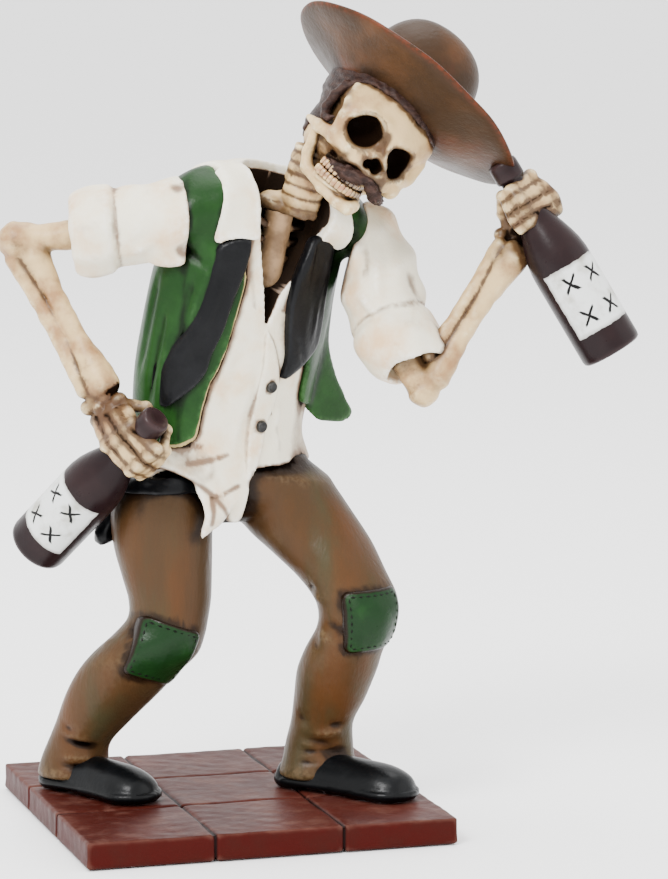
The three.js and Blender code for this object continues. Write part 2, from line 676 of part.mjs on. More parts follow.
function hands() {
  const rightWrist = [[-41.6, -12.4, 126.6], [-38.6, -14.9, 127.4], [-35.4, -17.2, 126.8]];
  const rightFingers = [
    [[-34, -17.9, 125.3], [-33.5, -27.4, 121], [-28.1, -31.2, 114.8], [-24.1, -27.1, 113.2]],
    [[-36.8, -16, 123.7], [-35.1, -26.9, 119.6], [-30, -30.6, 112.8], [-26.3, -26.5, 110.3]],
    [[-39, -14.3, 122.4], [-37.9, -25.1, 116.6], [-32.7, -28.7, 109.8], [-28.8, -24.7, 107.6]],
    [[-40.7, -12.7, 120.6], [-40.1, -22.3, 114.4], [-34.4, -26.1, 107.8], [-30.5, -22.1, 105.9]],
    [[-34.8, -16.6, 125.7], [-28, -19.7, 124.7], [-23.6, -25.2, 118.9], [-25.4, -28.8, 114.9]],
  ];
  const leftWrist = [[73.6, -34.8, 172.6], [76.4, -35.8, 171], [75.2, -38.6, 169.2]];
  const leftFingers = [
    [[75.8, -33.5, 172.8], [80.4, -39.1, 189.8], [72.9, -44.1, 186.3], [71.1, -42.5, 184.5]],
    [[76.6, -33.8, 172.3], [83.7, -40.1, 186.6], [74.5, -45.7, 183.5], [72.4, -44, 181.5]],
    [[77.5, -34, 171.7], [86.4, -40.9, 183.8], [76.1, -46.2, 180.1], [73.8, -44.4, 178]],
    [[78.3, -34.3, 171.1], [87.6, -41.3, 180.3], [77.8, -46.7, 177.3], [75.7, -45, 175.2]],
    [[75.9, -34.7, 172.9], [73.4, -35.8, 178.8], [71.6, -40.3, 184.2]],
  ];
  return [...hand(rightWrist, rightFingers), ...hand(leftWrist, leftFingers)];
}

function figure() {
  const clothed = joined([
    shirt(),
    vest(),
    ...sleeves.map(sleeve),
  ]).subtract(panel(trunkFrame, neckOpening, 5.5, 40));
  return joined([
    clothed,
    ...collar(),
    ...tieEnds(),
    ...buttons(),
    trousers(),
    ...shoes.map(shoe),
    ...chestBones(),
    ...neck(),
    skull(),
    hat(),
    ...armBones(),
    ...hands(),
    ...bottles.map(bottle),
  ]);
}

function piece(name, body, material) {
  const mesh = body.getMesh();
  const g = new THREE.BufferGeometry();
  g.setAttribute('position', new THREE.BufferAttribute(Float32Array.from(mesh.vertProperties), 3));
  g.setIndex(new THREE.BufferAttribute(Uint32Array.from(mesh.triVerts), 1));
  g.computeVertexNormals();
  const part = new THREE.Mesh(g, material);
  part.name = name;
  return part;
}

function paintedResin() {
  return new THREE.MeshStandardMaterial({ color: 0xcdbfa6, roughness: 0.55, metalness: 0 });
}

function tileRed() {
  return new THREE.MeshStandardMaterial({ color: 0x7a3d36, roughness: 0.6, metalness: 0 });
}

const figurine = new THREE.Group();
figurine.add(piece('skeleton_figure', figure(), paintedResin()));
figurine.add(piece('tiled_base', plinth(), tileRed()));

export default figurine;
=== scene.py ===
# Skeleton figurine of painted resin: wide hat, open waistcoat, a bottle in each hand, on nine floor tiles
import math
import bpy
import numpy as np
import openvdb as vdb
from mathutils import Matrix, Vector
from mathutils.bvhtree import BVHTree


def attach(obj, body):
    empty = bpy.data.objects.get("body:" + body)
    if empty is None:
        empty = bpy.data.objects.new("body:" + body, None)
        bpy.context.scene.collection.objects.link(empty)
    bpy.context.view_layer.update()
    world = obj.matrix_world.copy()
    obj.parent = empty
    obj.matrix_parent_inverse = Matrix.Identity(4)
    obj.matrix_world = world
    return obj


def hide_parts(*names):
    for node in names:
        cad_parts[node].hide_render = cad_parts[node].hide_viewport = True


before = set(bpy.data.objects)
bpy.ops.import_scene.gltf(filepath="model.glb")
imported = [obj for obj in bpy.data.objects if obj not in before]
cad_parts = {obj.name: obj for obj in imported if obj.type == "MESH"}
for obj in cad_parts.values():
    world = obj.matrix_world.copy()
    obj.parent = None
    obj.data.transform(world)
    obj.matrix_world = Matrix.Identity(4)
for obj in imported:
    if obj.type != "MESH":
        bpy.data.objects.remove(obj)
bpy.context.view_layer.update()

cameraLook = {
    "place": (-0.3036, -1.1085, 0.2703),
    "turn": 16.93,       # degrees to the right of straight ahead
    "down": 7.85,
    "lens": 162.97,
}


def addCamera(look):
    data = bpy.data.cameras.new("camera")
    data.lens = look["lens"]
    data.sensor_width = 36
    camera = bpy.data.objects.new("camera", data)
    turn, down = math.radians(look["turn"]), math.radians(look["down"])
    ahead = Vector((math.sin(turn) * math.cos(down), math.cos(turn) * math.cos(down), -math.sin(down)))
    camera.location = look["place"]
    camera.rotation_euler = ahead.to_track_quat("-Z", "Y").to_euler()
    bpy.context.collection.objects.link(camera)
    bpy.context.scene.camera = camera


addCamera(cameraLook)
print("camera set")

# Modelling is done in millimetres as distance fields: below zero inside a form, above zero outside


def unit(v):
    v = np.asarray(v, float)
    return v / np.linalg.norm(v)


def frameOf(origin, along, front):
    y = unit(along)
    x = unit(np.cross(y, front))
    return {"origin": np.asarray(origin, float), "axes": np.array([x, y, np.cross(x, y)])}


def toWorld(place, p):
    return p @ place["axes"].astype(np.float32) + place["origin"].astype(np.float32)


def toLocal(place, q):
    return (q - place["origin"].astype(np.float32)) @ place["axes"].T.astype(np.float32)


def size(v):
    return np.sqrt((v * v).sum(axis=-1))


def smoothLine(stations, count=120):
    p = np.asarray(stations, float)
    slope = np.gradient(p, axis=0)
    t = np.linspace(0, len(p) - 1, count)
    i = np.minimum(t.astype(int), len(p) - 2)
    w = (t - i)[:, None]
    return (p[i] * (2 * w**3 - 3 * w**2 + 1) + slope[i] * (w**3 - 2 * w**2 + w)
            + p[i + 1] * (3 * w**2 - 2 * w**3) + slope[i + 1] * (w**3 - w**2))


def blend(a, b, k):
    h = np.clip(0.5 + 0.5 * (b - a) / k, 0, 1)
    return b + (a - b) * h - k * h * (1 - h)


def meet(a, b, k):
    return -blend(-a, -b, k)


def cut(a, b, k):
    return meet(a, -b, k)


def ball(p, centre, radii):
    q = p - np.float32(centre)
    r = np.float32(radii)
    outer = size(q / r)
    return outer * (outer - 1) / np.maximum(size(q / (r * r)), 1e-5)


def stick(p, a, b, radiusA, radiusB, waist=0.0):
    a, b = np.float32(a), np.float32(b)
    run = b - a
    h = np.clip((p - a) @ run / float(run @ run), 0, 1)
    thick = radiusA + (radiusB - radiusA) * h - waist * (1 - (2 * h - 1) ** 4)
    return size(p - a - h[..., None] * run) - thick


def blendAll(fields, k):
    total = None
    for field in fields:
        total = field if total is None else blend(total, field, k)
    return total


# Sticks from joint to joint; each joint is a place with its radius
def chain(p, joints, k=0.8):
    return blendAll((stick(p, a[:3], b[:3], a[3], b[3]) for a, b in zip(joints, joints[1:])), k)


def makeLoft(stations, along, front, place=None):
    rows = [list(s[:3]) + [s[3], s[-1]] for s in stations]
    line = smoothLine(rows)
    centres = toWorld(place, line[:, :3]) if place else line[:, :3]
    axes = frameOf((0, 0, 0), along, front)["axes"]
    local = centres @ axes.T
    return {"axes": axes.astype(np.float32), "level": np.maximum.accumulate(local[:, 1]),
            "across": local[:, 0], "forward": local[:, 2], "wide": line[:, 3], "deep": line[:, 4]}


def loft(q, form, grow=0.0, ends=1.5):
    p = q @ form["axes"].T
    h = p[..., 1]
    wide = np.interp(h, form["level"], form["wide"]) + grow
    deep = np.interp(h, form["level"], form["deep"]) + grow
    a = (p[..., 0] - np.interp(h, form["level"], form["across"])) / wide
    f = (p[..., 2] - np.interp(h, form["level"], form["forward"])) / deep
    outer = np.sqrt(a * a + f * f)
    side = outer * (outer - 1) / np.maximum(np.sqrt((a / wide) ** 2 + (f / deep) ** 2), 1e-5)
    top = np.maximum(h - form["level"][-1] - grow, form["level"][0] - grow - h)
    return meet(side, top, ends)


# Distance to a drawn outline, read in the x and y of the frame a form is carved in
def outline(p, corners, rounds=2):
    flat = p[:, :, :1] if p.ndim == 4 else p
    x, y = flat[..., 0], flat[..., 1]
    line = np.asarray(corners, float)
    for _ in range(rounds):
        after = np.roll(line, -1, axis=0)
        line = np.stack([line * 0.8 + after * 0.2, line * 0.2 + after * 0.8], axis=1).reshape(-1, 2)
    nearest = np.full(x.shape, 1e9)
    inside = np.zeros(x.shape, bool)
    for (ax, ay), (bx, by) in zip(line, np.roll(line, -1, axis=0)):
        ex, ey = bx - ax, by - ay
        h = np.clip(((x - ax) * ex + (y - ay) * ey) / (ex * ex + ey * ey), 0, 1)
        nearest = np.minimum(nearest, (x - ax - h * ex) ** 2 + (y - ay - h * ey) ** 2)
        if ey != 0:
            inside ^= ((y >= ay) != (y >= by)) & (x < ax + (y - ay) * ex / ey)
    return np.where(inside, -1, 1) * np.sqrt(nearest)


# Soft unevenness: a few waves in seeded directions, longer along `stretch`
def ripple(p, length, seed, stretch=(1, 1, 1), waves=9):
    dice = np.random.default_rng(seed)
    total = 0
    for _ in range(waves):
        way = unit(dice.normal(size=3)) * 2 * math.pi / length / np.asarray(stretch, float)
        total = total + np.sin(p @ way.astype(np.float32) + dice.uniform(0, 2 * math.pi))
    return total / math.sqrt(waves)


# Folds: [from, to, width, height], a height below zero is a crease
def folds(p, lines):
    total = 0
    for a, b, width, height in lines:
        a, b = np.float32(a), np.float32(b)
        run = b - a
        h = np.clip((p[..., :len(a)] - a) @ run / float(run @ run), 0, 1)
        far = size(p[..., :len(a)] - a - h[..., None] * run)
        fade = np.minimum(1, 4 * np.minimum(h, 1 - h) + 0.25)
        total = total + height * fade * np.exp(-(far / width) ** 2)
    return total


figureParts = []
finishOrder = []


def keepPart(name, finish, points, faces, marks=None):
    if finish not in finishOrder:
        finishOrder.append(finish)
    figureParts.append((points, faces, finishOrder.index(finish), marks or {}))
    print(f"  {name}: {len(faces)} triangles")


def triangles(quads):
    return np.concatenate([quads[:, [0, 1, 2]], quads[:, [0, 2, 3]]])


def used(points, faces):
    kept, index = np.unique(faces, return_inverse=True)
    return points[kept], index.reshape(faces.shape)


def thinned(points, faces, keep):
    mesh = bpy.data.meshes.new("draft")
    mesh.from_pydata(points.tolist(), [], faces.tolist())
    draft = bpy.data.objects.new("draft", mesh)
    bpy.context.collection.objects.link(draft)
    draft.modifiers.new("thin", "DECIMATE").ratio = keep
    result = draft.evaluated_get(bpy.context.evaluated_depsgraph_get()).to_mesh()
    result.calc_loop_triangles()
    points = np.empty(len(result.vertices) * 3, np.float32)
    faces = np.empty(len(result.loop_triangles) * 3, np.int32)
    result.vertices.foreach_get("co", points)
    result.loop_triangles.foreach_get("vertices", faces)
    bpy.data.objects.remove(draft)
    bpy.data.meshes.remove(mesh)
    return points.reshape(-1, 3), faces.reshape(-1, 3)


# Skin over a field, sampled in the frame `place` from corner `low` to corner `high`
def skin(place, low, high, look, field, hidden=None):
    cell = look["cell"]
    axes = [np.arange(a, b + cell, cell, dtype=np.float32) for a, b in zip(low, high)]
    p = np.stack(np.meshgrid(*axes, indexing="ij"), axis=-1)
    values = field(p, toWorld(place, p))
    grid = vdb.FloatGrid(3 * cell)
    grid.copyFromArray(np.ascontiguousarray(np.clip(values, -3 * cell, 3 * cell), np.float32))
    points, _, quads = grid.convertToPolygons(isovalue=0.0, adaptivity=0.0)
    points = (points * cell + np.float32(low)).astype(np.float32)
    faces = triangles(quads)
    if hidden is not None:
        middle = points[faces].mean(axis=1)
        faces = faces[~hidden(middle, toWorld(place, middle))]
        points, faces = used(points, faces)
    points, faces = thinned(points, faces, look["keep"])
    return toWorld(place, points), faces


# `look` holds the sampling step "cell" and the part of the triangles to "keep"
def carve(name, finish, place, low, high, look, field, hidden=None, marks=None):
    points, faces = skin(place, low, high, look, field, hidden)
    keepPart(name, finish, points, faces, marks(points) if marks else None)


# A profile of [radius, distance] turned about the line from `start` to `end`
def turned(profile, start, end, sides, side=(0.3, 0.2, 0.9)):
    start = np.asarray(start, float)
    place = frameOf(start, np.asarray(end, float) - start, side)
    angle = np.linspace(0, 2 * math.pi, sides, endpoint=False)
    rows = [np.stack([r * np.sin(angle), np.full(sides, h), r * np.cos(angle)], axis=1) for r, h in profile]
    points = np.concatenate(rows)
    ring = np.arange(sides)
    after = np.roll(ring, -1)
    band = np.stack([ring, after, after + sides, ring + sides], axis=1)
    quads = np.concatenate([band + i * sides for i in range(len(profile) - 1)])
    return place, points, triangles(quads)


world = frameOf((0, 0, 0), (0, 1, 0), (0, 0, 1))
ahead = (-0.291, -0.957, 0)
upright = (0, 0, 1)

# Trunk: its frame leans forward and to the figure's left
trunkFront = (0.4, -0.916, 0)
trunk = frameOf((-1.1, 0.3, 98.2), (0.209, -0.128, 0.97), trunkFront)
trunkUp = trunk["axes"][1]
shirtBody = makeLoft([
    [0.4, -7, 1, 26.8, 17.2], [2, 0, 0, 30, 18.4], [1.6, 9, -2.3, 30, 17.8],
    [-1.6, 19, -4.9, 27.8, 18], [-2.2, 29, -6.4, 28.4, 18.5], [-2.4, 40, -7, 28.8, 19],
    [-2.8, 51, -7.3, 28.8, 19], [-3, 62, -7.3, 28.2, 18.8], [-3, 73, -5.9, 26.6, 17.6],
    [-3.5, 81, -4.4, 23, 15], [-3.7, 87, -3.7, 17.5, 11.5], [-4, 91, -3, 12, 8],
], trunkUp, trunkFront, trunk)
yoke = makeLoft([
    [-21, -13, 178.6, 7, 8.6], [-17, -13.4, 180, 9.4, 10.6], [-9, -12.4, 181.4, 10.8, 13],
    [-2, -10.9, 181.8, 10.8, 14], [9.4, -9.1, 181.4, 10.2, 15], [21.3, -7.5, 179.4, 9, 14.6],
    [34, -6.3, 175.3, 8.6, 13], [40, -5, 172.4, 7, 9.5], [43.4, -5.4, 170.4, 5, 7],
], (1, 0.1, -0.16), ahead)

shirtLook = {
    "cell": 0.7,
    "keep": 0.54,
    "rounding": 0.8,      # of the cut edges
    "placketOut": 0.8,
    "wrinkle": 0.28,
    "creaseWide": 1.5,    # how much wider and darker the painted crease shade lies than the drawn creases
    "creaseDeep": 1.1,
    "underHand": [(-20, 8, 0), (5, 3.4, 9)],    # where shade is painted on the shirt under the right hand
    "folds": [
        [(2, 47, 10), (9, 32, 10), 2.2, 0.7], [(-12, 44, 10), (-15, 22, 10), 2.4, -0.7],
        [(-7, 34, 12), (-10, 14, 13), 1.6, 0.6], [(4, 30, 12), (7, 13, 13), 1.5, 0.6],
        [(-8, 14, 12), (-18, 7, 12), 1.6, 0.8], [(4, 20, 12), (14, 26, 12), 2, -0.7],
        [(6, 30, 12), (14, 36, 12), 1.8, -0.6], [(-13, 1.5, 18), (-5, 5.5, 17.5), 1, -0.8],
        [(-21, 9, 16), (-12, 12.5, 17), 1, -0.8], [(-24, 14, 12), (-15, 15.5, 15), 1.1, -0.5],
    ],
}
buttonLook = {"radius": 1.75, "sides": 24, "spots": [(-0.9, 34.2), (-1.1, 22.3)]}
# How dark the brown wash and painted shade lie on each part of the shirt
shirtShade = {
    "lapel": 0.42, "besideVest": 0.6, "flapSide": 0.44, "hem": 0.7, "underHand": 0.36, "placket": 0.36,
    "buttons": 0.4,
}
shirtCreases = [
    [(-23, 8, 0), (-14, 11.5, 0), 0.9, -0.6], [(-14.5, 11.4, 0), (-10, 13.6, 0), 0.7, -0.5],
    [(-24, 13, 0), (-17, 14.4, 0), 0.9, -0.5], [(-13, 1.6, 0), (-5.4, 5.6, 0), 0.7, -0.55],
    [(-17, 1, 0), (-13, 1.5, 0), 0.9, -0.6], [(-15.6, 0.6, 0), (-15, -8, 0), 0.9, -0.6],
    [(5, 24, 0), (8, 14, 0), 1.2, -0.3], [(-5, 30, 0), (-5.5, 12, 0), 0.8, -0.25],
]
hemFront = [
    [-40, 6], [-26, 5.6], [-18, 3.4], [-12, -1], [-8, -6], [-4, -6], [-2.6, 3], [-3, 7.4], [-2.6, 9.5],
    [1.3, 10.5], [9, 11], [16, 12], [26, 12], [40, 12.4], [40, -40], [-40, -40],
]
hemBack = [[-40, 6], [-20, 4], [0, 5], [18, 9.4], [26, 12], [40, 12.4], [40, -40], [-40, -40]]
neckOpening = [
    [-18, 99], [-17.2, 90], [-16, 83], [-14.6, 76], [-12.2, 67.6], [-9.6, 59], [-6.9, 51], [-5.4, 56],
    [-4.2, 61.4], [-2.4, 64.4], [0.2, 68], [1.8, 72.6], [3.7, 77.4], [5, 86], [5.6, 99],
]
tailShape = [
    [-16.2, -11.6], [-14.4, -8.6], [-11.8, -6.9], [-9.4, -3.6], [-6.6, 0.6], [-4.8, 4.6], [-3, 13],
    [-30, 13], [-24, 2.8], [-19, -0.6], [-16.8, -4.8],
]
shirtTail = makeLoft([
    [-10, -18.2, 84.6, 1.6, 0.9], [-8.8, -18.8, 88.1, 3.6, 1.2], [-7, -19.4, 91.1, 5.4, 1.4],
    [-5.4, -19.2, 93.9, 6.8, 1.5], [-4.6, -17.9, 96.7, 8, 1.9], [-5, -16.8, 99.6, 9, 2.2],
    [-5.2, -15, 102.9, 9.4, 2.4], [-6, -12.6, 106.5, 9, 2.4],
], upright, trunkFront)
placketShape = [[-6.9, 51], [-3, 47], [2, 37], [3, 30], [1, 22], [0, 14], [-2.6, 7], [-5, 7], [-5, 37]]
# The opening's far end is rounded above this level of the trunk
neckBack = {"middle": -6.0, "half": 11.6, "deep": -8.5, "shallow": -2.5, "above": 82}


def trunkForm(q, grow=0.0):
    return blend(loft(q, shirtBody, grow), loft(q, yoke, grow * 0.6), 3)


def openNeck(p):
    side = np.clip(np.abs(p[..., 0] - neckBack["middle"]) / neckBack["half"], 0, 1)
    rounded = neckBack["deep"] + (neckBack["shallow"] - neckBack["deep"]) * side ** 3
    deep = np.where(p[..., 1] > neckBack["above"], rounded, neckBack["shallow"])
    return np.maximum(outline(p, neckOpening, 1), deep - p[..., 2])


def shirtField(p, q):
    cloth = trunkForm(q)
    front = np.maximum(outline(p, hemFront, 1), -p[..., 2])
    back = np.maximum(outline(p, hemBack, 1), p[..., 2])
    cloth = cut(cut(cloth, front, shirtLook["rounding"]), back, shirtLook["rounding"])
    cloth = blend(cloth, meet(loft(q, shirtTail), outline(p, tailShape, 1), shirtLook["rounding"]), 1.2)
    placket = outline(p, placketShape, 1)
    cloth = cloth - shirtLook["placketOut"] * np.clip(0.5 - placket / 0.7, 0, 1)
    cloth = cloth - folds(p, shirtLook["folds"]) - shirtLook["wrinkle"] * ripple(p, 13, 3, (1, 1.8, 1))
    return cut(cloth, openNeck(p), 0.45)


# Shirt that the waistcoat hides, and what would come through the trousers at the back, is left out
def underVest(p, q):
    front = (p[..., 2] > -1) & (outline(p, vestOpening, 1) > 2.2)
    back = (p[..., 2] <= -1) & (outline(p, vestHem, 1) > 2.2)
    poking = (q[..., 1] > 4) & (q[..., 2] < 108)
    return (front | back) & (openNeck(p) > 1) | poking


# 1 on a line and 0 from `reach` beside it
def near(gap, reach):
    return np.clip(1 - np.abs(gap) / reach, 0, 1)


# 1 inside a form and 0 from `reach` outside it
def around(gap, reach):
    return np.clip(1 - gap / reach, 0, 1)


def deepest(*shades):
    return np.stack(shades).max(axis=0)


# Brown wash and painted shade lie in the neck opening, along the waistcoat's edge and the hem, under the
# right hand and in a few drawn creases
def shirtMarks(points):
    p = toLocal(trunk, points)
    flat = p * np.float32((1, 1, 0))
    washShade, neck = shirtShade, outline(p, neckOpening, 1)
    depth = np.clip((-trunkForm(points) - 0.2) / 0.7, 0, 1) * (neck < 0.8)
    lapel = washShade["lapel"] * near(neck - 3.4, 2) * (p[..., 1] < 76) * (p[..., 1] > 56)
    beside = washShade["besideVest"] * near(outline(p, vestOpening, 1), 3)
    flapSide = washShade["flapSide"] * np.clip((p[..., 0] - 10) / 6, 0, 1) * (p[..., 1] < 34)
    hem = washShade["hem"] * near(outline(p, hemFront, 1), 2.2)
    creases = [(a, b, shirtLook["creaseWide"] * width, shirtLook["creaseDeep"] * height)
               for a, b, width, height in shirtCreases]
    underHand = washShade["underHand"] * around(ball(flat, *shirtLook["underHand"]) + ripple(p, 5, 31), 4)
    placket = washShade["placket"] * near(outline(p, placketShape, 1), 0.8)
    front = deepest(lapel, beside, flapSide, hem, -folds(flat, creases), underHand, placket) * (p[..., 2] > 0)
    ring = np.stack([size(p[..., :2] - np.float32(spot)) for spot in buttonLook["spots"]]).min(axis=0)
    return {"shadow": deepest(depth, front, washShade["buttons"] * near(ring - 2.1, 0.7))}


# Collar wings that lie over the waistcoat
collarWings = [
    [[-21, 99], [-27.3, 90], [-28.1, 81.2], [-26.9, 72], [-24.8, 74.2], [-22, 75.6], [-16.3, 76],
     [-17.3, 83.3], [-17.6, 89.7], [-15, 99]],
    [[4.4, 99], [3, 87], [0.4, 83], [-2.6, 78.4], [4, 77.8], [9, 76.6], [13.4, 75.8], [12.4, 82],
     [11, 88], [10.9, 99]],
]
collarBack = [[-24, 102], [-25, 86], [-16, 84], [6, 84], [12, 86], [11, 102]]
collarLook = {"cell": 0.55, "keep": 0.3, "out": 2.7, "wrinkle": 0.15, "rounding": 0.8}


def collarField(p, q):
    raised = trunkForm(q, collarLook["out"]) - collarLook["wrinkle"] * ripple(p, 9, 5)
    wings = np.minimum(outline(p, collarWings[0], 1), outline(p, collarWings[1], 1))
    behind = np.maximum(outline(p, collarBack, 1), p[..., 2] + 1)
    wings = np.minimum(np.maximum(wings, -4 - p[..., 2]), behind)
    cloth = meet(raised, wings, collarLook["rounding"])
    return cut(cut(cloth, trunkForm(q, -1.2), 0.5), openNeck(p), 0.6)


carve("collar", "shirtCloth", trunk, (-30, 70, -20), (24, 102, 20), collarLook, collarField)

# Waistcoat
vestLook = {
    "cell": 0.75,
    "keep": 0.3,
    "out": 1.4,
    "rounding": 0.9,
    "wrinkle": 0.34,
    "flapCalm": 0.85,    # how much of the wrinkles and folds the loose flap takes away round it
    # How dark the painted shade lies under the left arm, in the drawn creases and round the armholes
    "pit": 0.62, "creases": 0.196, "armholes": 0.4,
    "folds": [
        [(-29, 62, 2), (-30, 40, 2), 1.0, -1.0], [(-30, 40, 2), (-29, 14, 5), 1.0, -0.9],
        [(-31.5, 52, -4), (-31, 18, -3), 1.1, -1.1], [(-27, 66, 5), (-28.5, 50, 4), 1.3, 0.8],
        [(-31, 44, -1), (-30.4, 16, 0.5), 1.0, 0.7], [(-32, 60, -9), (-32, 30, -9), 1.4, -1.0],
        [(-27, 20, 8), (-23, 14, 10), 0.9, -0.7], [(-32, 70, -8), (-28, 66, 4), 1.4, -0.8],
        [(-30, 74, 0), (-24, 66, 8), 1.6, 0.6], [(23, 60, 4), (22, 32, 4), 1.2, -0.7],
        [(-16, 60, -25), (-20, 20, -24), 2.2, 0.8], [(4, 66, -27), (2, 24, -25), 2.4, -0.8],
        [(16, 60, -24), (20, 22, -22), 2.2, 0.8], [(-8, 44, -27), (-14, 16, -24), 2, -0.7],
    ],
}
vestOpening = [
    [-24.6, 100], [-24.8, 84], [-19, 75], [-17.8, 69.4], [-16.4, 63], [-16.5, 58], [-17, 45], [-18.1, 37.4],
    [-19.6, 32], [-20.2, 25], [-20.6, 17], [-22.4, 14.8], [-25.8, 12], [-42, 9], [-42, -20], [42, -20],
    [42, 27], [15, 29], [13.4, 33], [12.6, 43], [8, 48], [6, 62], [6, 75], [8, 84], [2, 100],
]
vestHem = [[-60, 9], [-20, 7], [20, 8], [60, 12], [60, -30], [-60, -30]]
vestFlap = makeLoft([
    [31.6, 23, 4.6, 4.4, 0.9], [31.4, 25.8, 4.2, 8.8, 1.3], [26.6, 31, 3.4, 9.8, 1.5],
    [21.9, 38, 2.4, 9, 1.7], [18.5, 46, 1.8, 8, 1.9], [16.6, 55, 1.6, 7.6, 2.2], [15.9, 64, 1.6, 7, 2.6],
    [17, 74, 1, 6, 3],
], trunkUp, trunk["axes"][2], trunk)


def vestEdge(p):
    front = np.where(p[..., 2] > -2, outline(p, vestOpening, 1), 99)
    return np.minimum(front, np.where(p[..., 2] < 0, outline(p, vestHem, 1), 99))


def vestField(p, q):
    cloth = trunkForm(q, vestLook["out"])
    deep = np.where((p[..., 1] > 80) & (p[..., 0] < 9), -12, -2)
    cloth = cut(cloth, np.maximum(outline(p, vestOpening, 1), deep - p[..., 2]), vestLook["rounding"])
    cloth = cut(cloth, np.maximum(outline(p, vestHem, 1), p[..., 2]), vestLook["rounding"])
    flap = loft(q, vestFlap, 0, 0.8)
    calm = 1 - vestLook["flapCalm"] * np.clip(1 - flap / 3, 0, 1)
    cloth = blend(cloth, flap, 1.6)
    pulled = folds(p, vestLook["folds"]) + vestLook["wrinkle"] * ripple(p, 12, 7, (1, 2.6, 1))
    return cloth - pulled * calm


def insideShirt(p, q):
    return shirtField(p, q) < -1.2


def rightArmhole(q):
    return (q - np.float32((-16.4, -25.4, 180))) @ np.float32(unit((1, -0.1, -0.04)))


def leftArmhole(q):
    return -(q - np.float32((34.1, -22.9, 174.7))) @ np.float32(unit((0.957, -0.291, -0.257)))


def creasesOf(lines):
    return [line for line in lines if line[3] < 0]


# The pale border runs along the edge as far as the left flap, and painted shade lies round the armholes,
# under the left arm and in the drawn creases
def vestMarks(points):
    look, p = vestLook, toLocal(trunk, points)
    gap = np.where(p[..., 0] > 5, 99, np.abs(vestEdge(p)))
    armholes = np.minimum(np.abs(rightArmhole(points)), np.abs(leftArmhole(points)))
    pit = look["pit"] * around(ball(points, (30, -19, 161), (3, 6, 9)), 3)
    drawn = -look["creases"] * folds(p, creasesOf(look["folds"])) * (p[..., 2] > -12)
    return {"trimGap": gap, "shadow": deepest(look["armholes"] * around(armholes, 2.2), pit, drawn)}


carve("shirt", "shirtCloth", trunk, (-34, -16, -28), (34, 98, 20), shirtLook, shirtField,
      underVest, shirtMarks)
carve("waistcoat", "vestSatin", trunk, (-36, 2, -32), (42, 98, 20), vestLook, vestField,
      insideShirt, vestMarks)

# Loose tie ends over the waistcoat
tieEnds = [
    [[-26.4, 72.4], [-22.4, 75.4], [-18.8, 76.4], [-18.2, 72.8], [-18.6, 65.4], [-19.8, 57.7],
     [-20.5, 48.7], [-22.2, 40.8], [-22.2, 36.4], [-23.9, 31.5], [-26.6, 27.2], [-28.6, 23.6], [-30, 22.6],
     [-31, 28.4], [-31.4, 34.2], [-30.1, 40.6], [-28.6, 45], [-27.6, 50.4], [-26.9, 58.9], [-26.6, 67.2]],
    [[1.1, 78.6], [3.9, 79.8], [8.4, 78.6], [11.6, 75.6], [12, 71], [13.6, 62], [15.4, 52], [15, 46.5],
     [12, 43.4], [8.8, 40.6], [3.1, 36.6], [1.6, 37.4], [2.1, 42.6], [0.3, 50], [-1.5, 57.3], [-2, 64.7],
     [-1, 71.6]],
]
tieLook = {
    "cell": 0.6,
    "keep": 0.32,
    "out": 2.9,
    "fold": 0.35,
    "folds": [
        [(-21.5, 74, 12), (-23.6, 52, 11), 1.0, -0.5], [(-24.4, 70, 10), (-26, 46, 8), 1.1, 0.4],
        [(-25, 48, 9), (-28.6, 27, 5), 1.2, -0.5], [(-22.8, 40, 9), (-29, 34, 4), 1.0, 0.5],
        [(3.6, 78, 14), (4.4, 52, 15), 1.0, -0.5], [(9, 76, 13), (10.6, 48, 13), 1.1, 0.45],
        [(3, 50, 15), (9, 42, 14), 1.0, -0.5],
    ],
}


def tieField(p, q):
    shape = np.minimum(outline(p, tieEnds[0], 1), outline(p, tieEnds[1], 1))
    shape = np.maximum(shape, -9 - p[..., 2])
    swell = tieLook["fold"] * ripple(p, 7, 11, (1, 5, 1)) + folds(p, tieLook["folds"])
    swell = swell * np.clip(-shape / 2, 0, 1)
    return cut(meet(trunkForm(q, tieLook["out"]) - swell, shape, 1.4), trunkForm(q, -0.6), 0.4)


carve("tie", "tieSatin", trunk, (-34, 18, -12), (20, 82, 20), tieLook, tieField)

# Sleeves and their turned-up cuffs
rightAlong, leftAlong = (-25.2, 8, -2.4), (6.4, -16.8, -27)
rightSleeve = makeLoft([
    [-3, -14, 178, 9], [-9, -14, 177.4, 12], [-16.2, -13.6, 177, 12.6], [-24.1, -10.4, 176.3, 11.4],
    [-31.5, -7.2, 175.4, 10.8], [-34.2, -6, 175, 11.2],
], rightAlong, upright)
rightCuff = makeLoft([
    [-33, -6.6, 175.2, 12], [-35.5, -5.5, 174.6, 12.8], [-40.3, -3.4, 173.6, 12.9], [-44.8, -1.2, 173, 11.8],
], rightAlong, upright)
leftSleeve = makeLoft([
    [35.4, -3, 177.5, 9], [38.2, -5.6, 172.6, 11.6], [42, -9.8, 163.6, 12.4], [43.9, -16.6, 153.6, 12],
    [44.6, -22.4, 145.6, 11],
], leftAlong, upright)
leftCuff = makeLoft([
    [44.5, -21, 147.4, 11.6], [45.3, -23.8, 143.2, 12.4], [47.2, -27.6, 138.6, 12.2],
    [49.3, -30.8, 134.6, 10.6],
], leftAlong, upright)
sleeveLook = {
    "cell": 0.7, "keep": 0.32, "wrinkle": 0.7, "fold": 1.5, "edge": 0.5, "cuffWrinkle": 0.25,
    "creaseWide": 1.6, "creaseDeep": 0.8, "washShade": 0.46, "blots": 0.12,
}
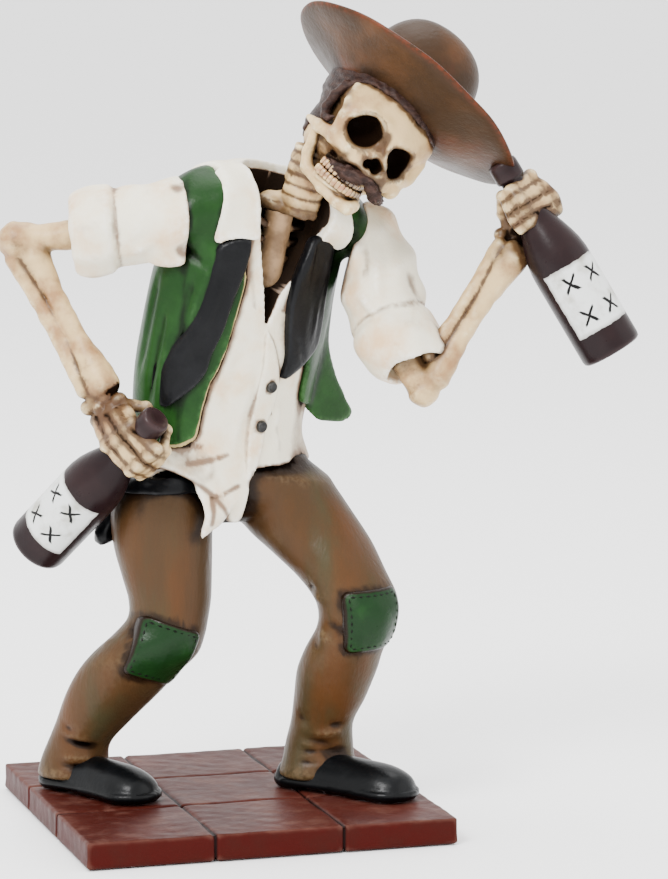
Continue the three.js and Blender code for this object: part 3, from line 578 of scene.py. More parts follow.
rightSleeveFolds = [
    [(-8, -27, 176), (-20, -22, 168), 1.8, -0.9], [(-10, -26, 184), (-24, -20, 174), 1.7, -0.8],
    [(-16, -20, 188), (-30, -15, 180), 1.8, -0.7], [(-22, -22, 176), (-31, -17, 168), 1.5, 0.8],
    [(-14, -24, 166), (-26, -14, 165), 1.8, 0.9], [(-12, 0, 184), (-26, 3, 176), 1.8, -0.8],
]
leftSleeveFolds = [
    [(33, -18, 176), (36, -27, 160), 1.8, -0.9], [(40, -20, 172), (38, -30, 152), 1.9, 0.8],
    [(46, -18, 168), (50, -26, 152), 1.7, -0.8], [(34, -24, 156), (40, -33, 146), 1.5, 0.9],
    [(52, -8, 166), (54, -18, 150), 1.8, 0.8], [(36, -2, 166), (38, -10, 150), 2, -0.9],
]


def sleeveField(sleeve, cuff, lines, seed, mouth, armhole):
    def field(p, q):
        cloth = loft(q, sleeve) - sleeveLook["fold"] * folds(q, lines)
        cloth = cloth - sleeveLook["wrinkle"] * ripple(q, 11, seed)
        turnedUp = loft(q, cuff, 0, 2.5) - sleeveLook["cuffWrinkle"] * ripple(q, 8, seed + 1)
        cloth = cut(blend(cloth, turnedUp, sleeveLook["edge"]), mouth(q), 1)
        return meet(cloth, armhole(q), 1.2)
    return field


# Painted shade in the folds, under the turned cuff and round the armhole, and a few brown blots
def sleeveMarks(cuff, lines, armhole):
    def marks(points):
        dips = [(a, b, sleeveLook["creaseWide"] * width, sleeveLook["creaseDeep"] * height)
                for a, b, width, height in creasesOf(lines)]
        drawn = np.minimum(-folds(points, dips), sleeveLook["washShade"])
        drawn = drawn + sleeveLook["blots"] * ripple(points, 5, 33)
        line = sleeveLook["washShade"] * near(loft(points, cuff, 0, 2.5) - 0.7, 1.1)
        seam = sleeveLook["washShade"] * near(armhole(points), 2.6)
        return {"shadow": deepest(np.maximum(drawn, 0), line, seam)}
    return marks


def rightMouth(q):
    return stick(q, (-41, -3, 173.2), (-60, 5, 169), 8.6, 9.5)


def leftMouth(q):
    return stick(q, (47.4, -28.4, 138), (53, -37, 126), 8.2, 9)


carve("right_sleeve", "shirtCloth", world, (-49, -29, 158), (4, 14, 193), sleeveLook,
      sleeveField(rightSleeve, rightCuff, rightSleeveFolds, 21, rightMouth, rightArmhole),
      marks=sleeveMarks(rightCuff, rightSleeveFolds, rightArmhole))
carve("left_sleeve", "shirtCloth", world, (27, -46, 126), (64, 12, 184), sleeveLook,
      sleeveField(leftSleeve, leftCuff, leftSleeveFolds, 25, leftMouth, leftArmhole),
      marks=sleeveMarks(leftCuff, leftSleeveFolds, leftArmhole))

# Trousers
trouserLook = {
    "cell": 0.85, "keep": 0.24, "wrinkle": 0.3, "waistIn": 3.5, "waistLevel": 8.6,
    # How dark the painted shade lies in each place, and the dark paint round the patches
    "underShirt": 0.6, "crotch": 0.62, "patchSeam": 0.28, "creases": 0.55,
}
rightLeg = makeLoft([
    [-41.4, 15, 11.6, 11.2, 10], [-41.6, 14.7, 16.5, 9.8, 9.2], [-40.6, 13.3, 22, 9.2, 9],
    [-37.2, 9.2, 29, 11, 9.6], [-33.2, 4.8, 37, 13, 10.6], [-28.5, 0.3, 45, 14.8, 11.4],
    [-24.6, -3, 50.5, 15.2, 11.8], [-20.8, -4.6, 56, 13, 12], [-18.2, -4.8, 61, 11.4, 11.8],
    [-17.5, -4.4, 66.5, 11.8, 12], [-18.2, -3.8, 73.5, 13.2, 12.6], [-19, -3.4, 80.5, 14.4, 13.2],
    [-19.4, -3.2, 88, 14.8, 13.6], [-19, -3, 96, 14.4, 13.4], [-18, -2.8, 102, 12.5, 12],
], upright, ahead)
leftLeg = makeLoft([
    [27.9, -4.4, 11.6, 12.3, 10], [27.9, -4.3, 16.5, 10.6, 9.2], [28.2, -4.1, 21, 10, 8.8],
    [28.6, -5.6, 28, 9.4, 9], [30, -8.1, 35.5, 11, 9.8], [31.3, -10.4, 43.5, 12, 10.8],
    [32.9, -12.8, 50.5, 11.4, 11.2], [35.6, -14.8, 57, 11.2, 11.6], [36.4, -15.2, 62, 11.5, 12],
    [35.8, -14.2, 66.5, 12.3, 12], [32.8, -10.8, 72.5, 13.7, 12.4], [28.5, -7, 79, 15.6, 13],
    [23.9, -3.2, 85.5, 17, 13.6], [20, 0, 93, 17, 13.8], [16.4, 1.8, 100, 16, 13.6],
    [12.4, 2.8, 111, 14.4, 12.8],
], upright, ahead)
pelvis = makeLoft([
    [0, 0, 88.5, 8, 7], [-1, 1, 91.5, 17, 11], [-2.6, 1, 96, 22, 13.6], [-3, 0.6, 101, 23, 14],
    [-2.6, 0.6, 106, 22, 14], [-0.6, 0.8, 115, 22, 14],
], upright, ahead)
legFolds = [
    [(16, -8, 31), (36, -16, 27), 1.3, -0.8], [(17, -10, 25), (30, -14, 22), 1.1, -0.9],
    [(24, -14, 21), (38, -13, 24), 1.0, -0.8], [(18, -10, 17), (34, -14, 16), 1.0, -0.7],
    [(-52, 6, 30), (-40, 4, 26), 1.2, -0.7], [(-52, 8, 26), (-36, 3, 21), 1.1, -0.9],
    [(-50, 8, 17), (-38, 5, 15), 1.0, -0.7], [(-34, -4, 50), (-30, -10, 44), 1.3, -0.6],
    [(20, -14, 69), (30, -22, 73), 1.1, -0.8], [(19, -12, 57), (26, -20, 50), 1.1, -0.7],
    [(20, -16, 62), (29, -24, 58), 1.3, -1.0], [(20, -14, 66), (28, -22, 68), 1.2, 0.8],
    [(19, -14, 60), (27, -22, 54), 1.2, 0.9], [(22, -14, 24), (36, -15, 27), 1.3, 0.8],
    [(20, -10, 20), (38, -13, 20), 1.1, -0.8], [(24, -14, 16), (38, -12, 17), 1.2, 0.7],
    [(-50, 5, 24), (-36, 4, 22), 1.2, -0.8], [(-50, 6, 19), (-38, 5, 18), 1.2, 0.8],
    [(-36, -6, 57), (-26, -14, 60), 1.4, -0.9], [(-38, 0, 55), (-28, -12, 53), 1.3, 0.8],
    [(2, -12, 96), (12, -16, 84), 2, -0.9], [(10, -15, 98), (20, -18, 82), 2.2, 0.7],
]


def trouserField(p, q):
    cloth = blendAll((loft(q, form) for form in (rightLeg, pelvis, leftLeg)), 3)
    cloth = cloth - folds(q, legFolds) - trouserLook["wrinkle"] * ripple(q, 15, 31, (1, 1, 2))
    level = toLocal(trunk, q)[..., 1]
    drawnIn = trouserLook["waistIn"]
    return cloth + drawnIn * np.clip((level - trouserLook["waistLevel"]) / drawnIn, 0, 1)


# Knee patches, sewn on with dark thread
patchLook = {
    "cell": 0.5, "keep": 0.28, "out": 1.0, "half": 9.1, "corner": 2.2, "wrinkle": 0.16,
    "stitches": 7, "inset": 1.5,
}
patches = [
    (frameOf((-22.6, -3, 52.4), (0.34, 0, 0.94), (0.02, -0.99, -0.1)), rightLeg),
    (frameOf((36.6, -14, 60.5), (-0.04, 0, 1), (0.16, -0.98, 0)), leftLeg),
]


def patchShape(p):
    half, corner = patchLook["half"], patchLook["corner"]
    over = np.abs(p[..., :2]) - (half - corner)
    return size(np.maximum(over, 0)) + np.minimum(over.max(axis=-1), 0) - corner


# Painted shade under the shirt, in the crotch and in the drawn folds, and dark paint round the patches
def trouserMarks(points):
    look = trouserLook
    under = look["underShirt"] * around(shirtField(toLocal(trunk, points), points) - 0.5, 6)
    crotch = look["crotch"] * around(ball(points, (1, -13, 91), (4, 8, 9)), 5)
    drawn = -look["creases"] * folds(points, creasesOf(legFolds))
    seams = []
    for place, _ in patches:
        p = toLocal(place, points)
        seams.append(look["patchSeam"] * near(patchShape(p) - 1, 1.4) * (p[..., 2] > 2))
    return {"shadow": deepest(under, crotch, drawn, *seams)}


def underShirt(depth):
    return lambda p, q: shirtField(toLocal(trunk, q), q) < -depth


carve("trousers", "trouserCloth", world, (-55, -30, 9), (52, 26, 114), trouserLook, trouserField,
      underShirt(2), trouserMarks)


def patchField(leg):
    def field(p, q):
        cloth = loft(q, leg, patchLook["out"]) - patchLook["wrinkle"] * ripple(q, 7, 41)
        shape = np.maximum(patchShape(p), -p[..., 2])
        return cut(meet(cloth, shape, 0.8), loft(q, leg, -0.8), 0.4)
    return field


def patchMarks(place):
    return lambda points: {"trimGap": np.maximum(-patchShape(toLocal(place, points)), 0)}


for place, leg in patches:
    carve("knee_patch", "patchCloth", place, (-10, -10, 0), (10, 10, 24), patchLook, patchField(leg),
          marks=patchMarks(place))

# Belt, and the knotted end of the black sash behind the right hand
beltLook = {"cell": 0.65, "keep": 0.3, "low": 98.6, "high": 107, "out": 1.2, "wrinkle": 0.3}


def beltField(p, q):
    band = blend(loft(q, pelvis, beltLook["out"]), loft(q, rightLeg, beltLook["out"]), 3)
    band = band - beltLook["wrinkle"] * ripple(q, 7, 51, (1, 1, 0.5))
    middle, half = (beltLook["low"] + beltLook["high"]) / 2, (beltLook["high"] - beltLook["low"]) / 2
    band = meet(meet(band, np.abs(q[..., 2] - middle) - half, 1.6), q[..., 0] + 3, 1)
    hanging = stick(q, (-31.5, 3.6, 94), (-34.6, 4.8, 85), 2.6, 3.2, 0.4)
    knot = blend(hanging, ball(q, (-31, 3, 95), (4, 3.4, 3.4)), 1)
    return np.minimum(band, knot - 0.35 * ripple(q, 4, 53))


carve("belt", "tieSatin", world, (-40, -24, 78), (0, 22, 110), beltLook, beltField, underShirt(1.5))

# Shoes
shoeLook = {
    "cell": 0.6, "keep": 0.3, "heelRadius": 6.6, "toeRadius": 8.4, "waist": 0.7, "lift": 8.1,
    "welt": 0.8, "weltLevels": (1, 3), "treadTop": 1.6, "heelLong": 4.5,
    "treadFrom": 0.42,    # part of the shoe's length
}
shoes = [((-44.5, 17.5), (-30, -6)), ((22.5, -1.5), (42.5, -25.5))]


def shoeField(length, upper):
    heel, toe = shoeLook["heelRadius"], shoeLook["toeRadius"]

    def sole(p, out):
        h = np.clip(p[..., 1] / length, 0, 1)
        half = heel + (toe - heel) * h - shoeLook["waist"] * np.sin(h * math.pi) + out
        return np.sqrt(p[..., 0] ** 2 + (p[..., 1] - h * length) ** 2) - half

    def slab(p, out, low, high):
        return meet(sole(p, out), np.abs(p[..., 2] - (low + high) / 2) - (high - low) / 2, 0.5)

    def field(p, q):
        body = meet(loft(p, upper, 0, 2), 2 - p[..., 2], 0.6)
        welt = slab(p, shoeLook["welt"], *shoeLook["weltLevels"])
        tread = meet(slab(p, 0, 0, shoeLook["treadTop"]), length * shoeLook["treadFrom"] - p[..., 1], 0.5)
        block = meet(slab(p, 0.3, 0, shoeLook["treadTop"]), p[..., 1] - shoeLook["heelLong"], 0.5)
        return blend(np.minimum(np.minimum(welt, tread), block), body, 0.5)
    return field


def addShoe(heel, toe):
    start, end = np.array([*heel, shoeLook["lift"]]), np.array([*toe, shoeLook["lift"]])
    length = float(np.linalg.norm(end - start))
    back, far = shoeLook["heelRadius"], shoeLook["toeRadius"]
    upper = makeLoft([
        [0, -back + 0.4, 2, 3.4, 3], [0, -back + 2, 2, 5.6, 5.4], [0, 0, 2, 6.5, 7.6],
        [0, length * 0.4, 2, 7.1, 8.6], [0, length * 0.75, 2, 8, 8.2], [0, length, 2, 8.3, 7.4],
        [0, length + far * 0.65, 2, 6.4, 5.4], [0, length + far * 0.98, 2, 2.4, 2.4],
    ], (0, 1, 0), (0, 0, 1))
    carve("shoe", "shoeLeather", frameOf(start, end - start, upright), (-11, -9, -0.6), (11, length + 11, 15),
          shoeLook, shoeField(length, upper))


for heel, toe in shoes:
    addShoe(heel, toe)

# Neck bones, breastbone and ribs in the open shirt
neckLow, neckHigh = np.array([17.4, -16.4, 178]), np.array([22, -19.8, 196])
neckLook = {
    "cell": 0.5, "keep": 0.36, "disc": 3.1, "radius": 6, "groove": 0.36, "base": [(-3.8, 86, 1), (8, 3, 5.4)],
    "washShade": 0.42, "evenDarkening": 0.12,
}
chestLook = {"cell": 0.55, "keep": 0.36, "ribLevels": (80, 75.4, 70.8, 66.2, 61, 56), "washShade": 0.62}


def breastbone(p):
    return stick(p, (-4.4, 83, 2.4), (-3.4, 64.5, 3), 4.1, 3.7)


def chestField(p, q):
    bones = np.minimum(breastbone(p), stick(p, (-1.4, 61.6, 2.6), (-1.8, 57.4, 3.4), 2.2, 1.9))
    for y in chestLook["ribLevels"]:
        bones = blend(bones, stick(p, (-9.6, y - 0.4, 3), (-16.5, y + 2, 2.8), 1.3, 1.5), 0.5)
        bones = blend(bones, stick(p, (0, y - 1, 3.2), (8, y + 1, 3.8), 1.2, 1.4), 0.5)
    return bones - 0.08 * ripple(p, 6, 61)


# Painted shade that deepens away from the breastbone, over the ribs in the open shirt
def chestMarks(points):
    return {"shadow": chestLook["washShade"] * np.clip(breastbone(toLocal(trunk, points)) / 1.2, 0, 1)}


# How far up the neck each spot lies, how far from its middle line, and how near to a gap between two bones
def alongNeck(q):
    run = neckHigh - neckLow
    long = float(np.linalg.norm(run))
    along = np.float32(run / long)
    h = (q - np.float32(neckLow)) @ along
    aside = size(q - np.float32(neckLow) - h[..., None] * along)
    return h, long, aside, np.abs(2 * ((h / neckLook["disc"]) % 1) - 1) ** 4


def neckField(p, q):
    h, long, aside, gap = alongNeck(q)
    column = aside - neckLook["radius"] + neckLook["groove"] * gap + 0.3 * ripple(q, 8, 65)
    column = meet(column, np.abs(h - long / 2 - 1) - long / 2 - 0.6, 1)
    column = blend(column, ball(p, *neckLook["base"]), 2.4)
    return column - 0.16 * ripple(q, 4, 63)


# Painted shade lies between the neck bones and at the root of the neck, and the whole neck is a little darker
def neckMarks(points):
    h, _, _, gap = alongNeck(points)
    return {"shadow": neckLook["washShade"] * np.maximum(gap, np.clip(1.1 - h / 5, 0, 1)) + neckLook["evenDarkening"]}


carve("breastbone", "chestBone", trunk, (-20, 48, -2), (6, 91, 10), chestLook, chestField, marks=chestMarks)
carve("neck", "boneIvory", trunk, (-16, 72, -8), (20, 106, 16), neckLook, neckField, marks=neckMarks)

# Skull, in a frame that sits between the eye sockets: x to the figure's left, y up, z forward
headSide, headUp = unit((0.844, 0.17, -0.509)), np.array([0.533, -0.15, 0.833])
head = frameOf((36.6, -39.4, 198.3), headUp, np.cross(headSide, headUp))
hatPlace, hatUp = np.array([47.8, -23.2, 212]), unit((0.684, 0.153, 0.713))
faceForm = makeLoft([
    [0, -12.4, -5, 8.8, 8.2], [0, -8, -5.8, 11, 9], [0, -4, -6.2, 12.8, 9.4], [0, 0, -6.4, 14, 8.8],
    [0, 4, -6, 15.8, 9.6], [0, 8, -7, 15.2, 10], [0, 13, -9, 12.6, 8.6],
], (0, 1, 0), (0, 0, 1))


# Balls as a centre and three radii; ridges as joints, each a place and its radius
skullLook = {
    "cell": 0.5,
    "keep": 0.38,
    "wrinkle": 0.12,
    "skull": [(0.6, 9, -19), (15.4, 15.5, 20.5)],
    "base": [(0.4, -4.6, -19.4), (14.6, 12, 14.4)],
    "rightSocket": [(-8.3, 1.4, 1), (4.5, 4.7, 9)],
    "leftSocket": [[(4.9, -0.6, 1.5), (4.6, 3.5, 8)], [(5.9, -2.9, 1), (2.9, 3.3, 7)]],
    "nose": [[(-3, -6, 2.6), (1.1, 1.3, 4.6)], [(0, -6, 2.8), (1.5, 1.7, 5)],
             [(-1.1, -5, 3.4), (1.4, 1.7, 4.6)]],
    "brow": [(-14.6, 2.4, -3, 1.5), (-9.4, 6.2, 0.4, 1.5), (-4.6, 6.2, 1.8, 1.5), (1, 4.4, 1.8, 1.5),
             (7, 4.6, 0.6, 1.7), (13.4, 2, -4, 1.6)],
    "ridge": [(-14.4, 1.2, -3.6, 1.2), (-15, 6, -4.6, 1.2), (-14.4, 10.5, -7, 0.9)],
    "rightJaw": [(-14.2, -6.4, -14, 1.5), (-12.8, -12.6, -14, 1.6), (-11.1, -16.6, -12.4, 1.8),
                 (-7, -18.5, -5.6, 1.8), (-2.6, -19.7, -0.6, 1.8), (0.2, -19.6, 0.8, 1.9)],
    "leftJaw": [(0.2, -19.6, 0.8, 1.9), (1.8, -18.4, 0, 1.6), (3.2, -17, -5, 1.6), (5.4, -16.2, -12, 1.6),
                (9.6, -12.6, -14, 1.6), (12.8, -6.6, -14, 1.5)],
    "underHat": 1.2,
    "browLine": 8.9,
    # How dark the painted shade lies beside the nose, along the hat's line on the brow and round the sockets
    "smearAndShade": 0.5, "browShade": 0.4, "rims": 0.48,
}
toothLook = {
    "middle": -3.3, "back": -8.6, "narrow": 0.84, "radius": 8.6, "across": 1.66, "tall": 2.5, "deep": 1.7,
    "bow": 1.3, "uneven": (0.92, 1.06),
    # Gap between the jaws, and the gums behind the teeth
    "bite": -13.3, "biteHalf": 0.35, "biteDeep": 2,
    "gumMiddle": -13.6, "gumHalf": 4.2, "gumIn": 0.9, "gumThick": 1.0, "gumBack": -8.4,
    # Teeth in the row, level of their middles and how far they lean out
    "rows": [(16, -14.4, 0.45), (15, -11.9, -0.1)],
}


def overHat(q):
    return (q - hatPlace.astype(np.float32)) @ hatUp.astype(np.float32)


def cranium(p):
    return blend(ball(p, *skullLook["skull"]), ball(p, *skullLook["base"]), 3)


def sockets(p):
    left = blendAll((ball(p, *part) for part in skullLook["leftSocket"]), 1.6)
    nose = blendAll((ball(p, *part) for part in skullLook["nose"]), 0.8)
    return np.minimum(np.minimum(ball(p, *skullLook["rightSocket"]), left), nose)


def scalpOf(p):
    return blend(cranium(p), loft(p, faceForm, 0, 3), 3)


def faceOf(p):
    bone = blend(scalpOf(p), chain(p, skullLook["brow"], 1.5), 1.6)
    bone = blend(bone, chain(p, skullLook["ridge"], 1.2), 1.4)
    # On each side: temple hollow, cheekbone, outer rim of the socket, hollow of the cheek
    for s in (-1, 1):
        bone = cut(bone, ball(p, (s * 18.4, 2.4, -10), (5.8, 4.8, 5.6)), 1)
        cheek = chain(p, [(s * 16.6, -4.6, -18, 0.9), (s * 15, -4.9, -12, 1.7), (s * 12.6, -4.4, -4.6, 2.4),
                          (s * 9.4, -5.4, -1, 2.4)], 1.6)
        bone = blend(bone, cheek, 0.9)
        bone = blend(bone, stick(p, (s * 13.8, -3, -3.6), (s * 14.4, 1.4, -3.8), 1.6, 1.4), 1.4)
        bone = cut(bone, ball(p, (s * 12.6, -11.4, -5), (5.2, 3.6, 7)), 1.2)
    # Hollow under the right cheekbone, fuller left side, bridge of the nose
    bone = cut(bone, ball(p, (-7.6, -10.2, 3.4), (5.4, 1.9, 4.2)), 1.6)
    bone = blend(bone, ball(p, (10.4, -8.6, -3.6), (2.8, 3.2, 3.4)), 1.4)
    return blend(bone, stick(p, (-1, 3.6, 2.2), (1.8, -4.6, 3.6), 1.5, 0.9), 0.8)


def skullField(p, q):
    look = toothLook
    bone = cut(faceOf(p), sockets(p), 1.1)
    across = (p[..., 0] - look["middle"]) / look["narrow"]
    arch = np.sqrt(across ** 2 + (p[..., 2] - look["back"]) ** 2) - look["radius"]
    wall = np.abs(arch + look["gumIn"]) - look["gumThick"]
    gums = meet(wall, np.abs(p[..., 1] - look["gumMiddle"]) - look["gumHalf"], 0.8)
    gums = meet(gums, look["gumBack"] - p[..., 2], 0.8)
    bite = np.maximum(np.abs(arch) - look["biteDeep"], np.abs(p[..., 1] - look["bite"]) - look["biteHalf"])
    bone = cut(blend(bone, gums, 0.8), bite, 0.3)
    jaw = blend(chain(p, skullLook["rightJaw"], 1), chain(p, skullLook["leftJaw"], 1), 0.8)
    bone = blend(bone, jaw, 0.5) - skullLook["wrinkle"] * ripple(p, 6, 71)
    return meet(bone, overHat(q) + skullLook["underHat"], 0.6)


# Painted shade in the hollows under the right cheekbone, at the temple and beside the nose above the
# moustache: how dark, the ball it lies round and how far it reaches
skullShades = [
    [0.62, (-9, -9.8, -2), (5.6, 1.6, 7), 2.4],
    [0.4, (-14.8, 4, -9), (2, 5, 5), 2.6],
    [0.5, (2.4, -9.6, 1.6), (2.6, 1.6, 3), 2],
]


# Painted shade deep in the sockets and round their rims, beside the nose, along the hat's line on the brow
# and in the hollows of cheek and temple
def skullMarks(points):
    p = toLocal(head, points)
    blur = 0.5 * ripple(p, 4, 73)
    inside = np.clip(0.34 - (faceOf(p) + 0.4 * blur) / 2.6, 0, 1.1) * (sockets(p) < 1.4)
    smearAndShade = skullLook["smearAndShade"] * around(ball(p, (-3.2, 1.6, 1.6), (1.6, 3, 3)), 1.6)
    browLine = skullLook["browShade"] * near(overHat(points) + skullLook["browLine"] + blur, 2.2)
    rims = skullLook["rims"] * around(sockets(p) + blur, 2)
    hollowShades = [dark * around(ball(p, centre, radii) + blur, reach)
              for dark, centre, radii, reach in skullShades]
    return {"shadow": deepest(inside, rims, smearAndShade, browLine, *hollowShades)}


carve("skull", "boneIvory", head, (-21, -24, -42), (21, 16, 8), skullLook, skullField, marks=skullMarks)


# One rounded block, `rings` of `sides` points and a point at each end
def toothBlock(rings=5, sides=10, square=0.6):
    up = (np.arange(1, rings + 1) * math.pi / (rings + 1) - math.pi / 2)[:, None]
    turn = np.arange(sides) * 2 * math.pi / sides
    way = np.stack([np.cos(up) * np.cos(turn), np.sin(up) + 0 * turn, np.cos(up) * np.sin(turn)], axis=-1)
    way = way.reshape(-1, 3)
    grid = np.concatenate([np.sign(way) * np.abs(way) ** square, [[0, -1, 0], [0, 1, 0]]])
    low = np.arange(sides)
    after = np.roll(low, -1)
    quads = np.concatenate([np.stack([low, low + sides, after + sides, after], axis=1) + i * sides
                            for i in range(rings - 1)])
    last, top = rings * sides, (rings - 1) * sides
    caps = [np.stack([np.full(sides, last), low, after], axis=1),
            np.stack([np.full(sides, last + 1), top + after, top + low], axis=1)]
    return grid, np.concatenate([triangles(quads), *caps])[:, ::-1]


# Teeth on the arch of each jaw
def addTeeth(look):
    grid, faces = toothBlock()
    dice = np.random.default_rng(4)
    halves = np.array([look["across"], look["tall"], look["deep"]]) / 2
    points, tris = [], []
    for count, level, lean in look["rows"]:
        for i in range(count):
            a = math.pi * (0.1 + 0.86 * (i + 0.5) / count)
            out = np.array([math.cos(a), 0, math.sin(a)])
            side = np.array([-math.sin(a), 0, math.cos(a)])
            centre = np.array([look["middle"], level - look["bow"] * math.sin(a), look["back"]])
            centre += out * (look["radius"] + lean) * np.array([look["narrow"], 1, 1])
            tris.append(faces + len(grid) * len(points))
            half = halves * dice.uniform(*look["uneven"])
            points.append(centre + (grid * half) @ np.array([side, (0, 1, 0.1), out]))
    points = toWorld(head, np.concatenate(points).astype(np.float32))
    keepPart("teeth", "toothEnamel", points, np.concatenate(tris))


addTeeth(toothLook)

# Moustache and the hair that shows below the hat
hairLook = {
    "cell": 0.6, "keep": 0.45, "strand": 0.22, "thick": 0.5, "band": 8.9, "underHat": 1, "nape": -4.4,
    "lock": [(-15, 9, -12.4, 1.4), (-15.2, 4.4, -14.4, 1.5), (-15, 0.4, -15, 1.5), (-15, -1.8, -13, 1.3),
             (-14.8, -1.6, -10.4, 1.1), (-14.6, -0.2, -8.6, 0.5)],
}
moustacheLook = {
    "cell": 0.45, "keep": 0.6, "strand": 0.3,
    "right": [(-0.4, -9.9, 3, 1.3), (-3, -11, 2, 1.9), (-5.6, -11.4, 0.2, 2.1), (-8, -11.6, -3.6, 1.7),
              (-9.6, -11.2, -6, 0.7)],
    "left": [(-0.4, -9.9, 3, 1.3), (2.2, -11.4, 2.6, 1.8), (4.8, -12.6, 1.8, 2), (7.4, -13.4, 0.6, 1.3)],
}


def moustacheField(p, q):
    right, left = chain(p, moustacheLook["right"]), chain(p, moustacheLook["left"])
    return blend(right, left, 0.6) - moustacheLook["strand"] * ripple(p, 2.6, 81, (1, 0.35, 1))


def hairField(p, q):
    strands = hairLook["strand"] * ripple(p, 2.2, 83, (1, 1, 4))
    band = -overHat(q) - hairLook["band"] - 0.2 * ripple(p, 6, 85)
    behind = p[..., 2] + 18
    grown = hairLook["nape"] - 0.22 * np.maximum(behind, 0) + 0.8 * np.clip(behind, -8, 0)
    grown = grown - p[..., 1] + 0.4 * ripple(p, 5, 87)
    side = np.maximum(p[..., 2] + 15.2 - 0.9 * np.clip(p[..., 1] - 4, 0, 8), grown)
    cap = meet(scalpOf(p) - hairLook["thick"] - strands, blend(band, side, 2), 0.7)
    cap = meet(cap, overHat(q) + hairLook["underHat"], 0.4)
    return blend(cap, chain(p, hairLook["lock"], 0.6) - strands, 0.8)


carve("moustache", "hairDark", head, (-13, -16, -10), (12, -5, 8), moustacheLook, moustacheField)
carve("hair", "hairDark", head, (-21, -14, -43), (21, 18, 6), hairLook, hairField,
      lambda p, q: cranium(p) < -0.6)

# Hat: the brim's profile as [part of the rim's radius, height], from the underside's middle round the edge
hatLook = {
    "rim": 38.4, "narrow": 0.93, "crownHeight": 22.4, "crownRadius": 17, "sides": 96, "uneven": 0.22,
    "brim": [
        [0, -7.8], [0.4, -7.7], [0.5, -7], [0.6, -5], [0.7, -3.3], [0.8, -2], [0.9, -0.9], [0.95, -0.3],
        [0.98, 0.3], [1, 0.9], [0.998, 1.5], [0.98, 1.85], [0.95, 1.75], [0.9, 1.4], [0.8, 1.05], [0.66, 0.9],
        [0.54, 0.95],
    ],
    "crownFoot": [[1.14, 1.3], [1.08, 2.2], [1.05, 3.6]],
    "crownLow": 6,
}


def addHat(look):
    rim, r, low, top = look["rim"], look["crownRadius"], look["crownLow"], look["crownHeight"]
    brim = [[rim * part, h] for part, h in look["brim"]] + [[r * part, h] for part, h in look["crownFoot"]]
    dome = [[r * math.cos(a) ** 0.65, low + (top - low) * math.sin(a)]
            for a in np.linspace(0, math.pi / 2, 16)[:-1]]
    profile = np.array(brim + dome + [[0, top]])
    place, points, faces = turned(profile, hatPlace, hatPlace + hatUp, look["sides"], (0.719, -0.309, -0.623))
    radius = size(points[:, [0, 2]])
    points[:, 0] *= look["narrow"]
    points[:, 1] += look["uneven"] * ripple(points.astype(np.float32), 22, 91) * np.clip(radius / 20, 0, 1)
    keepPart("hat", "hatFelt", toWorld(place, points.astype(np.float32)), faces)


addHat(hatLook)

# Arm bones and hands. Each arm: upper arm, the two forearm bones and what joins them, as
# [one end, other end, radius at the first end, of the shaft, at the other end]
armBones = {
    "right": [
        [(-42.6, -1.7, 173.2), (-59.4, 5.4, 171.2), 4.8, 4.0, 5.6],
        [(-55, 3.1, 167.4), (-39.2, -13.1, 131.2), 4.4, 2.7, 5],
        [(-60.2, 5.6, 165.8), (-44, -11.6, 129.4), 2.8, 1.9, 2.6],
        [(-58, 5.2, 163), (-42.6, -11.6, 131.6), 2, 1.9, 1.9],
    ],
    "left": [
        [(47.2, -29, 136.3), (50.8, -32.3, 128.4), 5, 4.4, 4.8],
        [(54, -34.2, 132.7), (75.6, -37.7, 166.3), 4.4, 2.7, 4.8],
        [(52.6, -33.5, 139), (72.4, -36.4, 169.6), 2.6, 1.8, 2.6],
        [(53.4, -33.2, 138), (72.6, -36.2, 167.6), 1.4, 1.4, 1.4],
    ],
}
handLook = {
    "knuckle": 2.0, "thinner": 0.12, "wristBone": 2.4, "waist": 0.16, "webReach": 6, "webDeep": 0.75,
    "wrinkle": 0.13,
    # How dark the brown wash and painted shade are at the long bones' ends, at the wrist, over the hand,
    # round the knuckles, between the forearm bones and between the fingers
    "ends": 0.16, "wrist": 0.16, "hand": 0.18, "knuckles": 0.2, "forearm": 0.6, "between": 0.8,
}
hands = {
    "right": {
        "wrist": [(-41.6, -12.4, 126.6), (-38.6, -14.9, 127.4), (-35.4, -17.2, 126.8), (-43, -12, 124.4),
                  (-40, -14.6, 124.6), (-37, -16.6, 124.8)],
        "fingers": [
            [(-34, -17.9, 125.3), (-33.5, -27.4, 121), (-28.1, -31.2, 114.8), (-24.1, -27.1, 113.2)],
            [(-36.8, -16, 123.7), (-35.1, -26.9, 119.6), (-30, -30.6, 112.8), (-26.3, -26.5, 110.3)],
            [(-39, -14.3, 122.4), (-37.9, -25.1, 116.6), (-32.7, -28.7, 109.8), (-28.8, -24.7, 107.6)],
            [(-40.7, -12.7, 120.6), (-40.1, -22.3, 114.4), (-34.4, -26.1, 107.8), (-30.5, -22.1, 105.9)],
            [(-34.8, -16.6, 125.7), (-28, -19.7, 124.7), (-23.6, -25.2, 118.9), (-25.4, -28.8, 114.9)],
        ],
    },
    "left": {
        "wrist": [(73.6, -34.8, 172.6), (76.4, -35.8, 171), (75.2, -38.6, 169.2), (73.6, -37.6, 167.6),
                  (77.6, -37, 168.6), (74.4, -33.6, 170)],
        "fingers": [
            [(75.8, -33.5, 172.8), (80.4, -39.1, 189.8), (72.9, -44.1, 186.3), (71.1, -42.5, 184.5)],
            [(76.6, -33.8, 172.3), (83.7, -40.1, 186.6), (74.5, -45.7, 183.5), (72.4, -44, 181.5)],
            [(77.5, -34, 171.7), (86.4, -40.9, 183.8), (76.1, -46.2, 180.1), (73.8, -44.4, 178)],
            [(78.3, -34.3, 171.1), (87.6, -41.3, 180.3), (77.8, -46.7, 177.3), (75.7, -45, 175.2)],
            [(75.9, -34.7, 172.9), (73.4, -35.8, 178.8), (71.6, -40.3, 184.2)],
        ],
    },
}


